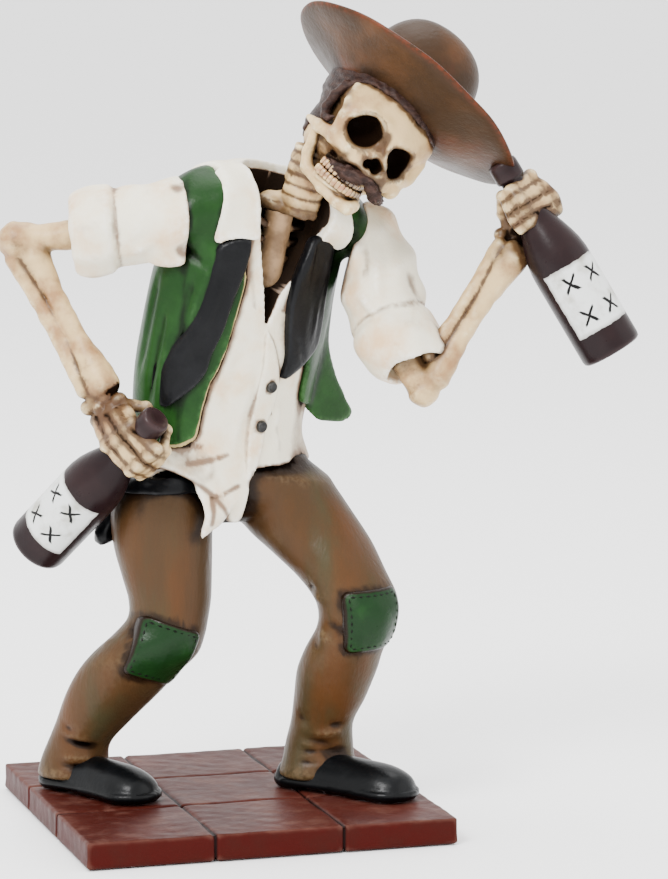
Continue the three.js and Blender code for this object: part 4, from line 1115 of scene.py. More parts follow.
def longBone(q, a, b, knobA, shaft, knobB):
    a, b = np.float32(a), np.float32(b)
    run = b - a
    h = np.clip((q - a) @ run / float(run @ run), 0, 1)
    thick = np.interp(h, [0, 0.1, 0.3, 0.66, 0.9, 1], [knobA, knobA * 0.9, shaft, shaft, knobB * 0.92, knobB])
    return size(q - a - h[..., None] * run) - thick


def finger(q, joints):
    thinner = handLook["thinner"]
    bones = []
    for i, (a, b) in enumerate(zip(joints, joints[1:])):
        knuckle = handLook["knuckle"] - i * thinner
        bones.append(stick(q, a, b, knuckle, knuckle - thinner, handLook["waist"]))
    return blendAll(bones, 0.5)


def armField(side):
    hand = hands[side]

    def field(p, q):
        bones = blendAll((longBone(q, *bone) for bone in armBones[side]), 1)
        for c in hand["wrist"]:
            bones = blend(bones, ball(q, c, (handLook["wristBone"],) * 3), 0.25)
        rows = [finger(q, joints) for joints in hand["fingers"]]
        for row in rows:
            bones = blend(bones, row, 0.2)
        # What lies between the four fingers is lower than they are
        web = blendAll(rows[:4], handLook["webReach"]) + handLook["webDeep"]
        return np.minimum(bones - handLook["wrinkle"] * ripple(q, 4.5, 101), web)
    return field


def nearestOf(points, centres, radius):
    return np.stack([ball(points, c, (radius,) * 3) for c in centres]).min(axis=0)


# Brown wash and painted shade lie dark round the small hand bones, between the forearm bones and at both ends
# of the long ones
def armMarks(side):
    look, hand = handLook, hands[side]

    def marks(points):
        ends = nearestOf(points, [bone[i] for bone in armBones[side] for i in (0, 1)], 2.4)
        wrist = nearestOf(points, hand["wrist"], 2)
        knots = nearestOf(points, [c for joints in hand["fingers"] for c in joints], 1.6)
        fingers = np.stack([finger(points, joints) for joints in hand["fingers"]]).min(axis=0)
        apart = np.stack([longBone(points, *bone) for bone in armBones[side][1:3]]).max(axis=0)
        shade = look["ends"] * around(ends - 2, 4) + look["wrist"] * around(wrist - 1, 3)
        shade = np.maximum(shade, look["forearm"] * np.clip(1.2 - apart / 0.9, 0, 1))
        shade = shade + look["hand"] * (fingers < 2) + look["knuckles"] * near(knots - 0.9, 0.6)
        between = look["between"] * np.clip((fingers - 0.25) / 0.6, 0, 1)
        between = between * (fingers < 4) * (np.minimum(ends, wrist) > 0.8)
        return {"shadow": np.maximum(shade, between)}
    return marks


carve("right_arm", "boneIvory", world, (-68, -36, 102), (-18, 14, 180), {"cell": 0.5, "keep": 0.31},
      armField("right"), marks=armMarks("right"))
carve("left_arm", "boneIvory", world, (42, -52, 120), (93, -24, 194), {"cell": 0.45, "keep": 0.31},
      armField("left"), marks=armMarks("left"))

# Bottles: the profile as [radius, height], with a straight side between foot and shoulder
bottleLook = {
    "length": 63, "sides": 64, "radius": 9, "labelHalf": 10.6, "labelLow": 8, "labelHigh": 28.5,
    "sideLevels": (2.6, 28),
    "foot": [[0, 0.7], [5.8, 0.6], [7.2, 0.1], [8.2, 0], [8.8, 0.5], [9, 1.5]],
    "shoulder": [[8.9, 30.5], [8.5, 33.4], [7.7, 36.4], [6.7, 39.4], [5.6, 42.4], [4.7, 45.2], [4.1, 48],
                 [3.7, 51]],
    "neck": [[3.45, 54], [3.35, 56.2], [3.5, 56.8], [4.1, 57.1], [4.3, 57.7], [4.3, 60], [4.25, 61.8],
             [4.0, 62.7], [3.4, 63], [0, 62.9]],
}
bottles = [
    {"name": "low_bottle", "mouth": (-27.8, -31.3, 123.3), "foot": (-50.8, 4.4, 86.6), "labelTurn": 24},
    {"name": "raised_bottle", "mouth": (71.5, -39.1, 194), "foot": (101.5, -49.7, 140.6), "labelTurn": -22},
]


def addBottle(look, bottle):
    mouth, foot = np.array(bottle["mouth"]), np.array(bottle["foot"])
    down = unit(foot - mouth)
    end = mouth + down * look["length"]
    body = [[look["radius"], h] for h in np.linspace(*look["sideLevels"], 9)]
    profile = np.array(look["foot"] + body + look["shoulder"] + look["neck"])
    place, points, faces = turned(profile, end, mouth, look["sides"])
    points = toWorld(place, points.astype(np.float32))
    # The label's middle is counted from the figure's front
    front = unit(np.array(ahead) - down * (np.array(ahead) @ down))
    rel = points - mouth
    turn = np.degrees(np.arctan2(rel @ np.cross(down, front), rel @ front)) - bottle["labelTurn"]
    turn = (turn + 180) % 360 - 180
    keepPart(bottle["name"], "bottleGlaze", points, faces,
             {"labelAcross": np.radians(turn) * look["radius"], "labelAlong": look["length"] - rel @ down})


for bottle in bottles:
    addBottle(bottleLook, bottle)


# Buttons, each set on the shirt where it lies
def addButton(x, y, look):
    step, lowest, highest = 0.1, 4, 18
    p = np.array([[[[x, y, z] for z in np.arange(lowest, highest, step)]]], np.float32)
    z = lowest + step * np.abs(shirtField(p, toWorld(trunk, p)).ravel()).argmin()
    r = look["radius"]
    profile = [[0, 0], [r, 0], [r * 1.03, 0.8], [r * 0.9, 1.3], [r * 0.7, 1.3], [r * 0.55, 1.0], [0, 1.0]]
    start, end = toWorld(trunk, np.array([[x, y, z - 0.4], [x, y, z + 3]], np.float32))
    place, points, faces = turned(profile, start, end, look["sides"])
    keepPart("button", "buttonDark", toWorld(place, points.astype(np.float32)), faces)


for x, y in buttonLook["spots"]:
    addButton(x, y, buttonLook)

# Stitches round the knee patches
threadLook = {"long": 1.5, "thick": 0.32, "raised": 1.2, "steepest": 2.5}


def addStitches(place, leg):
    edge, count = patchLook["half"] - patchLook["inset"], patchLook["stitches"]
    spots = []
    for t in -edge + 2 * edge * (np.arange(count) + 0.5) / count:
        spots += [((t, edge), (1, 0)), ((t, -edge), (1, 0)), ((edge, t), (0, 1)), ((-edge, t), (0, 1))]
    z = np.arange(0, 24, 0.1, dtype=np.float32)
    points, tris = [], []
    for (x, y), (dx, dy) in spots:
        ends = []
        for s in (-1, 0, 1):
            px, py = x + s * dx * threadLook["long"] / 2, y + s * dy * threadLook["long"] / 2
            line = np.stack([np.full_like(z, px), np.full_like(z, py), z], axis=1)
            value = loft(toWorld(place, line), leg, patchLook["out"])
            ends.append(line[np.abs(value).argmin()])
        a, m, b = ends
        if np.abs(a[2] - b[2]) > threadLook["steepest"] or m[2] < 0.5:
            continue
        across = np.array([-dy, dx, 0]) * threadLook["thick"]
        lift = np.array([0, 0, threadLook["thick"] * threadLook["raised"]])
        tris.append(np.array([[0, 1, 2], [0, 2, 3], [4, 2, 1], [4, 3, 2]]) + 5 * len(points))
        points.append(np.array([a, m - across, m + lift, m + across, b]))
    keepPart("stitches", "threadDark", toWorld(place, np.concatenate(points).astype(np.float32)),
             np.concatenate(tris))


for place, leg in patches:
    addStitches(place, leg)
print("figure modelled")


# Marks for the painter, with the value of plain spots
markNames = {"trimGap": 99, "labelAcross": 99, "labelAlong": 99, "shadow": 0}
sharpAngle = 60    # degrees; edges bent more than this are shaded as corners


# All the parts become one piece, with those marks and the crease shade and bulges that the next function
# finds
def assemble(name, parts, finishes, rays):
    points, faces, kinds, start = [], [], [], 0
    marks = {key: [] for key in markNames}
    for partPoints, partFaces, finish, partMarks in parts:
        points.append(partPoints)
        faces.append(partFaces + start)
        kinds.append(np.full(len(partFaces), finish))
        start += len(partPoints)
        for key, plain in markNames.items():
            values = partMarks.get(key, np.full(len(partPoints), plain))
            marks[key].append(np.asarray(values, np.float32))
    points, faces = np.concatenate(points), np.concatenate(faces)
    mesh = bpy.data.meshes.new(name)
    mesh.from_pydata((points * 0.001).tolist(), [], faces.tolist())
    mesh.polygons.foreach_set("material_index", np.concatenate(kinds).astype(np.int32))
    for finish in finishes:
        mesh.materials.append(finish)
    mesh.shade_smooth()
    mesh.set_sharp_from_angle(angle=math.radians(sharpAngle))
    piece = bpy.data.objects.new(name, mesh)
    bpy.context.collection.objects.link(piece)
    for key, values in marks.items():
        mesh.attributes.new(key, "FLOAT", "POINT").data.foreach_set("value", np.concatenate(values))
    addCreaseShade(mesh, points, faces, rays)
    print(f"{name}: {len(faces)} triangles")
    return piece


# Crease shade from short rays, and how sharply each spot bulges
creaseRays = {"reach": 9.0, "off": 0.12, "spread": 1.02, "fade": 0.6, "smoothings": 2}


def addCreaseShade(mesh, points, faces, rays):
    count = len(points)
    corner = points[faces]
    flat = np.cross(corner[:, 1] - corner[:, 0], corner[:, 2] - corner[:, 0])
    normals = np.zeros((count, 3))
    for i in range(3):
        for axis in range(3):
            normals[:, axis] += np.bincount(faces[:, i], flat[:, axis], count)
    normals /= np.maximum(np.linalg.norm(normals, axis=1, keepdims=True), 1e-9)
    edges = np.concatenate([faces[:, [0, 1]], faces[:, [1, 2]], faces[:, [2, 0]]])
    a, b = edges[:, 0], edges[:, 1]
    run = points[b] - points[a]
    bend = ((normals[b] - normals[a]) * run).sum(axis=1) / np.maximum((run * run).sum(axis=1), 1e-4)
    degree = np.maximum(np.bincount(a, minlength=count), 1)
    bulge = np.bincount(a, bend, count) / degree
    dice = np.random.default_rng(9)
    way = dice.normal(size=(rays, 3))
    way /= np.linalg.norm(way, axis=1, keepdims=True)
    tree = BVHTree.FromPolygons(points.tolist(), faces.tolist())
    cast = tree.ray_cast
    reach, spread, fade = creaseRays["reach"], creaseRays["spread"], creaseRays["fade"]
    starts = points + normals * creaseRays["off"]
    shade = np.zeros(count)
    for i in range(count):
        n = normals[i]
        start = Vector(starts[i])
        total = 0.0
        for d in way + n * spread:
            hit = cast(start, d, reach)[3]
            if hit is not None:
                total += 1 - (hit / reach) ** fade
        shade[i] = total / rays
    for _ in range(creaseRays["smoothings"]):
        shade = 0.5 * shade + 0.5 * np.bincount(a, shade[b], count) / degree
        bulge = 0.5 * bulge + 0.5 * np.bincount(a, bulge[b], count) / degree
    mesh.attributes.new("crease", "FLOAT", "POINT").data.foreach_set("value", shade.astype(np.float32))
    mesh.attributes.new("bulge", "FLOAT", "POINT").data.foreach_set("value", bulge.astype(np.float32))


# Materials: resin paint with a brown wash and painted shade in the creases, and rubbed, brushed colour with
# painted highlights over it
def setSocket(tree, socket, value):
    if isinstance(value, bpy.types.NodeSocket):
        tree.links.new(value, socket)
    else:
        socket.default_value = value


def addNode(tree, kind, **inputs):
    made = tree.nodes.new(kind)
    for key, value in inputs.items():
        setSocket(tree, made.inputs[key.replace("_", " ")], value)
    return made


def mixColour(tree, amount, a, b):
    made = tree.nodes.new("ShaderNodeMix")
    made.data_type = "RGBA"
    for index, value in zip((0, 6, 7), (amount, a, b)):    # factor and the two colours
        setSocket(tree, made.inputs[index], (*value, 1) if isinstance(value, tuple) else value)
    return made.outputs[2]


def sums(tree, how, a, b=0.0, c=0.0):
    made = tree.nodes.new("ShaderNodeMath")
    made.operation = how
    for socket, value in zip(made.inputs, (a, b, c)):
        setSocket(tree, socket, value)
    return made.outputs[0]


def plus(tree, a, b):
    return sums(tree, "ADD", a, b)


def less(tree, a, b):
    return sums(tree, "SUBTRACT", a, b)


def times(tree, a, b):
    return sums(tree, "MULTIPLY", a, b)


def without(tree, value):
    return less(tree, 1.0, value)


def rise(tree, value, low, high, top=1.0):
    made = addNode(tree, "ShaderNodeMapRange", Value=value, From_Min=low, From_Max=high, To_Max=top)
    made.interpolation_type = "SMOOTHSTEP"
    return made.outputs["Result"]


def mark(tree, name):
    made = tree.nodes.new("ShaderNodeAttribute")
    made.attribute_name = name
    return made.outputs["Fac"]


def noise(tree, scale, detail=4.0, stretch=(1, 1, 1), rough=0.55):
    place = tree.nodes.new("ShaderNodeTexCoord").outputs["Object"]
    bent = addNode(tree, "ShaderNodeMapping", Vector=place, Scale=stretch)
    return addNode(tree, "ShaderNodeTexNoise", Vector=bent.outputs[0], Scale=scale, Detail=detail,
                   Roughness=rough).outputs["Fac"]


def startFinish(name):
    material = bpy.data.materials.new(name)
    material.use_nodes = True
    tree = material.node_tree
    return material, tree, tree.nodes["Principled BSDF"]


# Values that a finish keeps where its own dictionary doesn't name them
plainPaint = {
    "blotchRange": (0.4, 0.7), "blotchWay": (1, 1, 1), "rubHighlight": 0.5, "washShade": 0.9, "deep": 0.95,
    "bulgeShading": 0.12, "smearAndShade": 0.0, "smearScale": 60, "glossScale": 260, "grainWay": (1, 1, 1),
    "bump": 0.25, "bumpDepth": 0.0004, "shine": 0.12,
}


def finishOff(tree, shader, colour, look):
    look = {**plainPaint, **look}
    rough = addNode(tree, "ShaderNodeMapRange", Value=noise(tree, look["glossScale"]),
                    To_Min=look["rough"][0], To_Max=look["rough"][1])
    tree.links.new(colour, shader.inputs["Base Color"])
    tree.links.new(rough.outputs["Result"], shader.inputs["Roughness"])
    coarse = times(tree, noise(tree, look["grainScale"] * 0.22, 3), 1.4)
    grain = plus(tree, noise(tree, look["grainScale"], 6, look["grainWay"]), coarse)
    bump = addNode(tree, "ShaderNodeBump", Height=grain, Strength=look["bump"], Distance=look["bumpDepth"])
    tree.links.new(bump.outputs[0], shader.inputs["Normal"])
    shader.inputs["Specular IOR Level"].default_value = look["shine"]


# Base colour, blotches of a second one, rubbed colour and painted highlights on what bulges, brown wash and
# painted shade in what is deep
def resinPaint(name, look):
    look = {**plainPaint, **look}
    material, tree, shader = startFinish(name)
    blotch = rise(tree, noise(tree, look["blotchScale"], 4, look["blotchWay"]), *look["blotchRange"])
    colour = mixColour(tree, blotch, look["colour"], look["second"])
    if "third" in look:
        streak = rise(tree, noise(tree, look["blotchScale"] * 1.3, 5, look["thirdWay"]), *look["thirdRange"])
        colour = mixColour(tree, streak, colour, look["third"])
    # Rubbed colour and painted highlights on what bulges
    bulge = mark(tree, "bulge")
    brushed = rise(tree, noise(tree, 700, 5), 0.3, 0.7, look["rubHighlight"])
    rubHighlighted = times(tree, rise(tree, bulge, *look["rubHighlightRange"]), brushed)
    colour = mixColour(tree, rubHighlighted, colour, look["rubHighlightColour"])
    # Brown wash and painted shade: crease shade from rays, fine speckle, the painted shadow marks and dark
    # patches, less on bulges and more in hollows
    washShade = plus(tree, mark(tree, "crease"), sums(tree, "MULTIPLY_ADD", noise(tree, 220, 5), 0.3, -0.15))
    washShade = plus(tree, washShade, mark(tree, "shadow"))
    smearAndShade = rise(tree, noise(tree, look["smearScale"], 5, (1, 1, 1), 0.7), 0.5, 0.8, look["smearAndShade"])
    washShade = less(tree, plus(tree, washShade, smearAndShade), times(tree, bulge, look["bulgeShading"]))
    washShadeMix = rise(tree, washShade, *look["washShadeRange"], look["washShade"])
    # The deepest painted shade turns near black
    deep = rise(tree, washShade, *look["deepRange"], look["deep"])
    colour = mixColour(tree, washShadeMix, colour, look["washShadeColour"])
    colour = mixColour(tree, deep, colour, look["deepColour"])
    if "trim" in look:
        border = plus(tree, mark(tree, "trimGap"), times(tree, noise(tree, 500, 3), 0.5))
        colour = mixColour(tree, without(tree, rise(tree, border, *look["trimRange"])), colour, look["trim"])
    finishOff(tree, shader, colour, look)
    # Where the wash and painted shade lie deep, the paint doesn't shine
    dull = rise(tree, washShade, look["washShadeRange"][1], look["deepRange"][1], 0.96)
    tree.links.new(times(tree, without(tree, dull), look["shine"]), shader.inputs["Specular IOR Level"])
    return material


# Paint that looks like this colour, given from 0 to 255, under the studio light
def seen(r, g, b):
    shown = [0, 15, 30, 45, 60, 90, 110, 130, 150, 175, 200, 215, 230, 255]
    paint = [0.0004, 0.001, 0.003, 0.006, 0.01, 0.024, 0.04, 0.062, 0.095, 0.16, 0.3, 0.44, 0.66, 0.92]
    return tuple(float(np.interp(c, shown, paint)) for c in (r, g, b))


figureFinishes = {
    "boneIvory": {
        "colour": seen(222, 208, 178), "second": seen(196, 170, 128), "blotchScale": 95,
        "rubHighlightColour": seen(238, 230, 212), "rubHighlight": 0.75, "rubHighlightRange": (0.08, 0.5),
        "washShadeColour": seen(112, 74, 42), "washShade": 0.92, "washShadeRange": (0.06, 0.46),
        "deepColour": seen(24, 14, 9), "deepRange": (0.52, 0.88),
        "smearAndShade": 0.34, "rough": (0.3, 0.48), "grainScale": 900, "shine": 0.25,
    },
    # Bone inside the open shirt, darker than the other bone: painted shade for the hollow it lies in
    "chestBone": {
        "colour": seen(204, 184, 156), "second": seen(170, 144, 112),
        "blotchScale": 120, "blotchRange": (0.35, 0.65),
        "rubHighlightColour": seen(224, 212, 190), "rubHighlight": 0.7, "rubHighlightRange": (0.1, 0.5),
        "washShadeColour": seen(84, 54, 32), "washShade": 0.95, "washShadeRange": (0.4, 0.7),
        "deepColour": seen(16, 9, 6), "deepRange": (0.66, 0.86),
        "rough": (0.35, 0.55), "grainScale": 900, "shine": 0.2,
    },
    "toothEnamel": {
        "colour": seen(204, 172, 132), "second": seen(176, 136, 96), "blotchScale": 400,
        "rubHighlightColour": seen(240, 226, 198), "rubHighlight": 0.8, "rubHighlightRange": (0.6, 1.3),
        "washShadeColour": seen(84, 46, 26), "washShade": 0.95, "washShadeRange": (0.16, 0.46),
        "deepColour": seen(22, 11, 7), "deepRange": (0.42, 0.66),
        "rough": (0.12, 0.25), "grainScale": 1200, "bump": 0.1, "shine": 0.6,
    },
    "hairDark": {
        "colour": seen(74, 52, 46), "second": seen(104, 76, 66),
        "blotchScale": 300, "blotchRange": (0.4, 0.65),
        "blotchWay": (1, 1, 3), "rubHighlightColour": seen(140, 112, 102), "rubHighlight": 0.6, "rubHighlightRange": (0.15, 0.9),
        "washShadeColour": seen(36, 22, 19), "washShadeRange": (0.3, 0.7),
        "deepColour": seen(14, 9, 8), "deepRange": (0.65, 0.9),
        "rough": (0.3, 0.5), "grainScale": 1400, "grainWay": (1, 1, 3), "bump": 0.6,
    },
    "shirtCloth": {
        "colour": seen(238, 233, 222), "second": seen(230, 214, 186),
        "blotchScale": 60, "blotchRange": (0.44, 0.74),
        "rubHighlightColour": seen(250, 248, 242), "rubHighlight": 0.7, "rubHighlightRange": (0.0, 0.35),
        "washShadeColour": seen(150, 100, 54), "washShade": 0.85, "washShadeRange": (0.2, 0.6),
        "deepColour": seen(30, 18, 12), "deepRange": (0.6, 0.88),
        "smearAndShade": 0.2, "smearScale": 40, "bulgeShading": 0.4,
        "rough": (0.36, 0.56), "grainScale": 1100, "bump": 0.35, "shine": 0.25,
    },
    "vestSatin": {
        "colour": seen(42, 92, 36), "second": seen(66, 120, 56),
        "blotchScale": 46, "blotchRange": (0.42, 0.75),
        "rubHighlightColour": seen(112, 156, 100), "rubHighlight": 0.7, "rubHighlightRange": (0.06, 0.4),
        "washShadeColour": seen(22, 46, 18), "washShade": 0.92, "washShadeRange": (0.14, 0.5),
        "deepColour": seen(12, 16, 8), "deepRange": (0.5, 0.8),
        "trim": seen(206, 194, 158), "trimRange": (0.95, 1.3), "bulgeShading": 0.7,
        "rough": (0.26, 0.42), "grainScale": 800, "shine": 0.11,
    },
    "tieSatin": {
        "colour": seen(20, 21, 25), "second": seen(36, 37, 42), "blotchScale": 80,
        "rubHighlightColour": seen(84, 84, 88), "rubHighlightRange": (0.15, 0.7),
        "washShadeColour": seen(10, 10, 12), "washShadeRange": (0.2, 0.6), "bulgeShading": 0.6,
        "deepColour": seen(6, 6, 6), "deepRange": (0.6, 0.85),
        "rough": (0.26, 0.42), "grainScale": 900,
    },
    "trouserCloth": {
        "colour": seen(112, 86, 56), "second": seen(132, 92, 52),
        "blotchScale": 34, "blotchRange": (0.4, 0.74),
        "blotchWay": (1.5, 1.5, 0.35), "rubHighlightColour": seen(158, 138, 108), "rubHighlight": 0.65, "rubHighlightRange": (0.02, 0.2),
        "washShadeColour": seen(54, 34, 20), "washShadeRange": (0.14, 0.52), "bulgeShading": 0.6,
        "deepColour": seen(20, 13, 9), "deepRange": (0.5, 0.84),
        "third": seen(104, 98, 68), "thirdRange": (0.46, 0.8), "thirdWay": (1.6, 1.6, 0.4),
        "smearAndShade": 0.2, "smearScale": 26,
        "rough": (0.28, 0.44), "grainScale": 700, "grainWay": (1, 1, 0.3), "bump": 0.4,
    },
    "patchCloth": {
        "colour": seen(34, 80, 36), "second": seen(50, 100, 48),
        "blotchScale": 110, "blotchRange": (0.45, 0.75),
        "rubHighlightColour": seen(84, 130, 78), "rubHighlightRange": (0.1, 0.6),
        "washShadeColour": seen(24, 38, 18), "washShadeRange": (0.3, 0.62),
        "deepColour": seen(14, 12, 8), "deepRange": (0.6, 0.85),
        "trim": seen(54, 34, 20), "trimRange": (0.6, 1.15),
        "rough": (0.22, 0.38), "grainScale": 800, "bump": 0.3, "shine": 0.13,
    },
    "threadDark": {
        "colour": seen(18, 20, 15), "second": seen(34, 36, 26), "blotchScale": 500,
        "rubHighlightColour": seen(60, 60, 52), "rubHighlight": 0.4, "rubHighlightRange": (0.2, 1.0),
        "washShadeColour": seen(14, 14, 12), "washShadeRange": (0.4, 0.7),
        "deepColour": seen(8, 8, 8), "deepRange": (0.7, 0.9),
        "rough": (0.45, 0.6), "grainScale": 1500, "bump": 0.3,
    },
    "shoeLeather": {
        "colour": seen(14, 17, 20), "second": seen(26, 30, 34),
        "blotchScale": 120, "blotchRange": (0.45, 0.8), "rubHighlightColour": seen(70, 75, 80), "rubHighlightRange": (0.3, 1.0),
        "washShadeColour": seen(8, 8, 9), "washShadeRange": (0.3, 0.65),
        "deepColour": seen(5, 5, 5), "deepRange": (0.6, 0.85),
        "rough": (0.24, 0.38), "grainScale": 700, "bump": 0.2, "shine": 0.14,
    },
    "buttonDark": {
        "colour": seen(34, 34, 34), "second": seen(56, 52, 48), "blotchScale": 500,
        "rubHighlightColour": seen(140, 134, 124), "rubHighlight": 0.4, "rubHighlightRange": (0.5, 1.6),
        "washShadeColour": seen(26, 20, 17), "washShadeRange": (0.3, 0.6),
        "deepColour": seen(10, 10, 10), "deepRange": (0.6, 0.85),
        "rough": (0.3, 0.45), "grainScale": 1200, "bump": 0.2, "shine": 0.3,
    },
    "hatFelt": {
        "colour": seen(96, 70, 48), "second": seen(134, 96, 62),
        "blotchScale": 34, "blotchRange": (0.42, 0.68),
        "rubHighlightColour": seen(154, 84, 54), "rubHighlight": 0.75, "rubHighlightRange": (0.08, 0.4),
        "washShadeColour": seen(46, 33, 25), "washShadeRange": (0.04, 0.5),
        "deepColour": seen(18, 13, 10), "deepRange": (0.5, 0.84),
        "third": seen(136, 76, 48), "thirdRange": (0.52, 0.78), "thirdWay": (1, 1, 1),
        "smearAndShade": 0.16, "smearScale": 30,
        "rough": (0.3, 0.48), "grainScale": 750, "bump": 0.35, "shine": 0.1,
    },
}


# Two rows of two brush crosses, `across` and `along` counted from the label's middle
def crossInk(tree, across, along, look):
    def fromMiddle(value, distance):
        return times(tree, less(tree, sums(tree, "ABSOLUTE", value), distance), sums(tree, "SIGN", value))

    beside, above = fromMiddle(across, look["crossAcross"]), fromMiddle(along, look["crossAlong"])
    wobble = sums(tree, "MULTIPLY_ADD", noise(tree, 300, 2), 1.6, -0.8)
    strokes = [sums(tree, "ABSOLUTE", plus(tree, sums(tree, "MULTIPLY_ADD", above, slope, beside), wobble))
               for slope in look["strokeSlopes"]]
    stroke = sums(tree, "MINIMUM", *strokes)
    reach = sums(tree, "MAXIMUM", sums(tree, "ABSOLUTE", beside), sums(tree, "ABSOLUTE", above))
    ink = without(tree, rise(tree, stroke, *look["strokeHalf"]))
    return times(tree, ink, without(tree, rise(tree, reach, *look["crossReach"])))


def bottlePaint(look):
    material, tree, shader = startFinish("bottleGlaze")
    colour = mixColour(tree, rise(tree, noise(tree, 60), 0.4, 0.75), look["colour"], look["second"])
    # Painted highlights on what bulges, and painted shade in the creases
    colour = mixColour(tree, rise(tree, mark(tree, "bulge"), 0.16, 0.5, 0.6), colour, look["rubHighlightColour"])
    colour = mixColour(tree, rise(tree, mark(tree, "crease"), 0.4, 0.75, 0.9), colour, look["washShadeColour"])
    # The paper label and its ragged edge
    low, high = bottleLook["labelLow"], bottleLook["labelHigh"]
    across = mark(tree, "labelAcross")
    along = less(tree, mark(tree, "labelAlong"), (low + high) / 2)
    overAcross = less(tree, sums(tree, "ABSOLUTE", across), bottleLook["labelHalf"])
    overAlong = less(tree, sums(tree, "ABSOLUTE", along), (high - low) / 2)
    ragged = sums(tree, "MULTIPLY_ADD", noise(tree, 420, 4), 1.0, -0.5)
    outside = plus(tree, sums(tree, "MAXIMUM", overAcross, overAlong), ragged)
    paper = mixColour(tree, rise(tree, noise(tree, 150, 5), 0.45, 0.75), look["paper"], look["paperOld"])
    paper = mixColour(tree, rise(tree, outside, -1.4, 0.0, 0.5), paper, look["paperEdge"])
    colour = mixColour(tree, without(tree, rise(tree, outside, -0.12, 0.12)), colour, paper)
    colour = mixColour(tree, crossInk(tree, across, along, look), colour, look["ink"])
    finishOff(tree, shader, colour, look)
    return material


bottleFinish = {
    "colour": seen(52, 32, 35), "second": seen(68, 46, 47), "rubHighlightColour": seen(112, 90, 90),
    "washShadeColour": seen(24, 13, 13), "paper": seen(228, 229, 228), "paperOld": seen(206, 205, 200),
    "paperEdge": seen(150, 136, 118), "ink": seen(20, 20, 20), "crossAcross": 4.0, "crossAlong": 5.2,
    "strokeSlopes": (-0.7, 1.1), "strokeHalf": (0.42, 0.72), "crossReach": (2.1, 2.7),
    "rough": (0.22, 0.38), "grainScale": 600, "bump": 0.15, "shine": 0.13,
}

finishes = []
for name in finishOrder:
    glaze = name == "bottleGlaze"
    finishes.append(bottlePaint(bottleFinish) if glaze else resinPaint(name, figureFinishes[name]))
rays = 14      # short rays from each point that find the creases
figurine = assemble("figurine", figureParts, finishes, rays)
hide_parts("skeleton_figure")
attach(figurine, "root")
print("figurine painted")

# Plinth of nine tiles
plinthLook = {
    "cell": 0.6, "keep": 0.4, "side": 109, "height": 7.8, "edge": 0.7, "uneven": 0.07, "wander": 0.25,
    "groove": 0.45, "depth": 0.9, "grooves": [(-17.4, 20.4), (-15.8, 20.6)],    # places along x and along y
}
tileLook = {
    "colour": seen(100, 38, 28), "second": seen(122, 64, 52), "sheenColour": seen(144, 104, 92),
    "grooveColour": seen(24, 12, 10), "sideColour": seen(106, 28, 20),
    "rough": (0.34, 0.52), "grainScale": 420, "bump": 0.35, "shine": 0.06,
}


def plinthField(p, q):
    look = plinthLook
    half = np.array([look["side"] / 2, look["side"] / 2, look["height"] / 2], np.float32) - look["edge"]
    over = np.abs(q - np.float32([0, 0, look["height"] / 2])) - half
    block = size(np.maximum(over, 0)) + np.minimum(over.max(axis=-1), 0) - look["edge"]
    wander = look["wander"] * ripple(q, 30, 111)
    for axis, places in enumerate(look["grooves"]):
        for place in places:
            beside = (q[..., axis] - place + wander) / look["groove"]
            block = block + look["depth"] * np.exp(-beside ** 2)
    rough = look["uneven"] * (ripple(q, 18, 113) + 0.6 * ripple(q, 6, 115))
    top = np.clip(q[..., 2] / 2 - 0.4, 0, 1)
    return block + np.clip(0.2 + rough, 0, 1) * top


def tilePaint(look):
    material, tree, shader = startFinish("tileGlaze")
    normal = tree.nodes.new("ShaderNodeNewGeometry").outputs["Normal"]
    facing = addNode(tree, "ShaderNodeSeparateXYZ", Vector=normal)
    # The top takes patches of painted sheen, a painted reflection that the sides don't have
    top = rise(tree, facing.outputs["Z"], 0.3, 0.8)
    sheenPatches = rise(tree, noise(tree, 120, 6, (1, 1, 1), 0.65), 0.46, 0.7, 0.7)
    colour = mixColour(tree, rise(tree, noise(tree, 34, 5), 0.35, 0.7), look["colour"], look["second"])
    colour = mixColour(tree, sheenPatches, colour, look["sheenColour"])
    side = mixColour(tree, rise(tree, noise(tree, 90, 5), 0.4, 0.7), look["sideColour"], look["colour"])
    colour = mixColour(tree, top, side, colour)
    # Painted highlight on the rounded edges
    colour = mixColour(tree, rise(tree, mark(tree, "bulge"), 0.12, 0.6, 0.5), colour, look["sheenColour"])
    drawn = rise(tree, mark(tree, "shadow"), 0.3, 0.8, 0.9)
    groove = sums(tree, "MAXIMUM", rise(tree, mark(tree, "crease"), 0.16, 0.36), drawn)
    colour = mixColour(tree, groove, colour, look["grooveColour"])
    finishOff(tree, shader, colour, look)
    return material


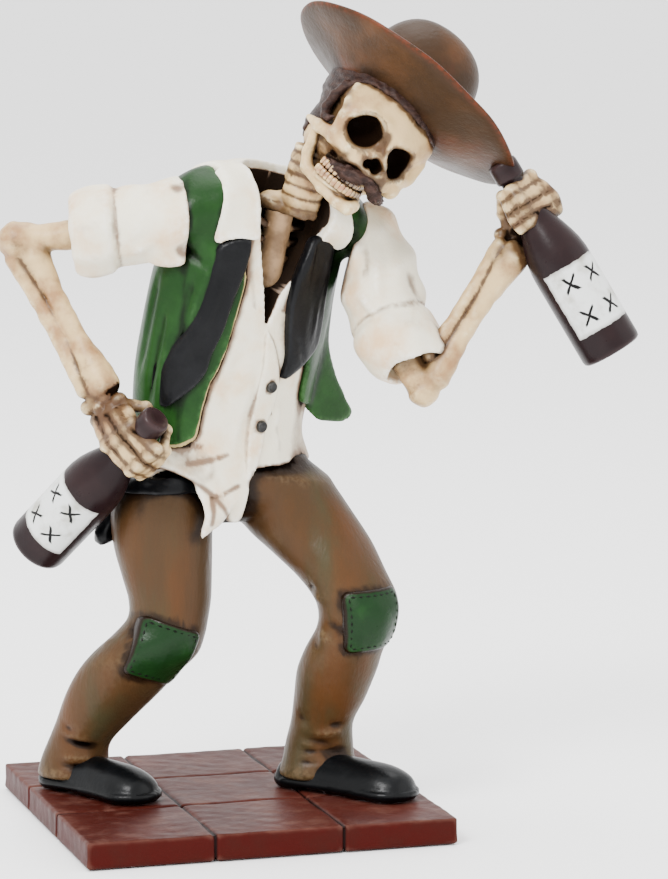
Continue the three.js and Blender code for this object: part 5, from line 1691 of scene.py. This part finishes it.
def addPlinth(look):
    outer = look["side"] / 2 + 1.2
    points, faces = skin(world, (-outer, -outer, -1.2), (outer, outer, look["height"] + 1.4), look,
                         plinthField)
    lines = [near(points[:, axis] - place, 1)
             for axis, places in enumerate(look["grooves"]) for place in places]
    block = (points, faces, 0, {"shadow": deepest(*lines)})
    piece = assemble("tile_base", [block], [tilePaint(tileLook)], rays)
    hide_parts("tiled_base")
    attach(piece, "root")


addPlinth(plinthLook)
print("plinth made")

# Pale floor and soft studio light
roomLook = {
    "floorSide": 40, "floorLevel": -0.0004, "floorColour": (0.92, 0.92, 0.92), "floorRough": 0.9,
    "world": (1, 1, 1), "worldStrength": 2.4,
    # Place, what it points at, power and side
    "lights": {
        "key": [(-0.8, -0.8, 1.1), (0, 0, 0.12), 30, 0.5],
        "fill": [(0.95, -0.7, 0.6), (0, 0, 0.12), 2, 0.8],
        "top": [(0.1, 0.2, 1.3), (0, 0, 0.1), 12, 0.8],
    },
}


def addRoom(look):
    half, level = look["floorSide"] / 2, look["floorLevel"]
    corners = [(x * half, y * half, level) for x, y in ((-1, -1), (1, -1), (1, 1), (-1, 1))]
    mesh = bpy.data.meshes.new("floor")
    mesh.from_pydata(corners, [], [(0, 1, 2, 3)])
    floor = bpy.data.objects.new("floor", mesh)
    bpy.context.collection.objects.link(floor)
    material, _, shader = startFinish("floorPale")
    shader.inputs["Base Color"].default_value = (*look["floorColour"], 1)
    shader.inputs["Roughness"].default_value = look["floorRough"]
    mesh.materials.append(material)
    sky = bpy.data.worlds.new("studio")
    sky.use_nodes = True
    sky.node_tree.nodes["Background"].inputs["Color"].default_value = (*look["world"], 1)
    sky.node_tree.nodes["Background"].inputs["Strength"].default_value = look["worldStrength"]
    bpy.context.scene.world = sky


def addLight(name, place, target, power, side):
    data = bpy.data.lights.new(name, "AREA")
    data.energy = power
    data.size = side
    light = bpy.data.objects.new(name, data)
    light.location = place
    light.rotation_euler = (Vector(target) - Vector(place)).to_track_quat("-Z", "Y").to_euler()
    bpy.context.collection.objects.link(light)


addRoom(roomLook)
for name, light in roomLook["lights"].items():
    addLight(name, *light)
print("studio lit")
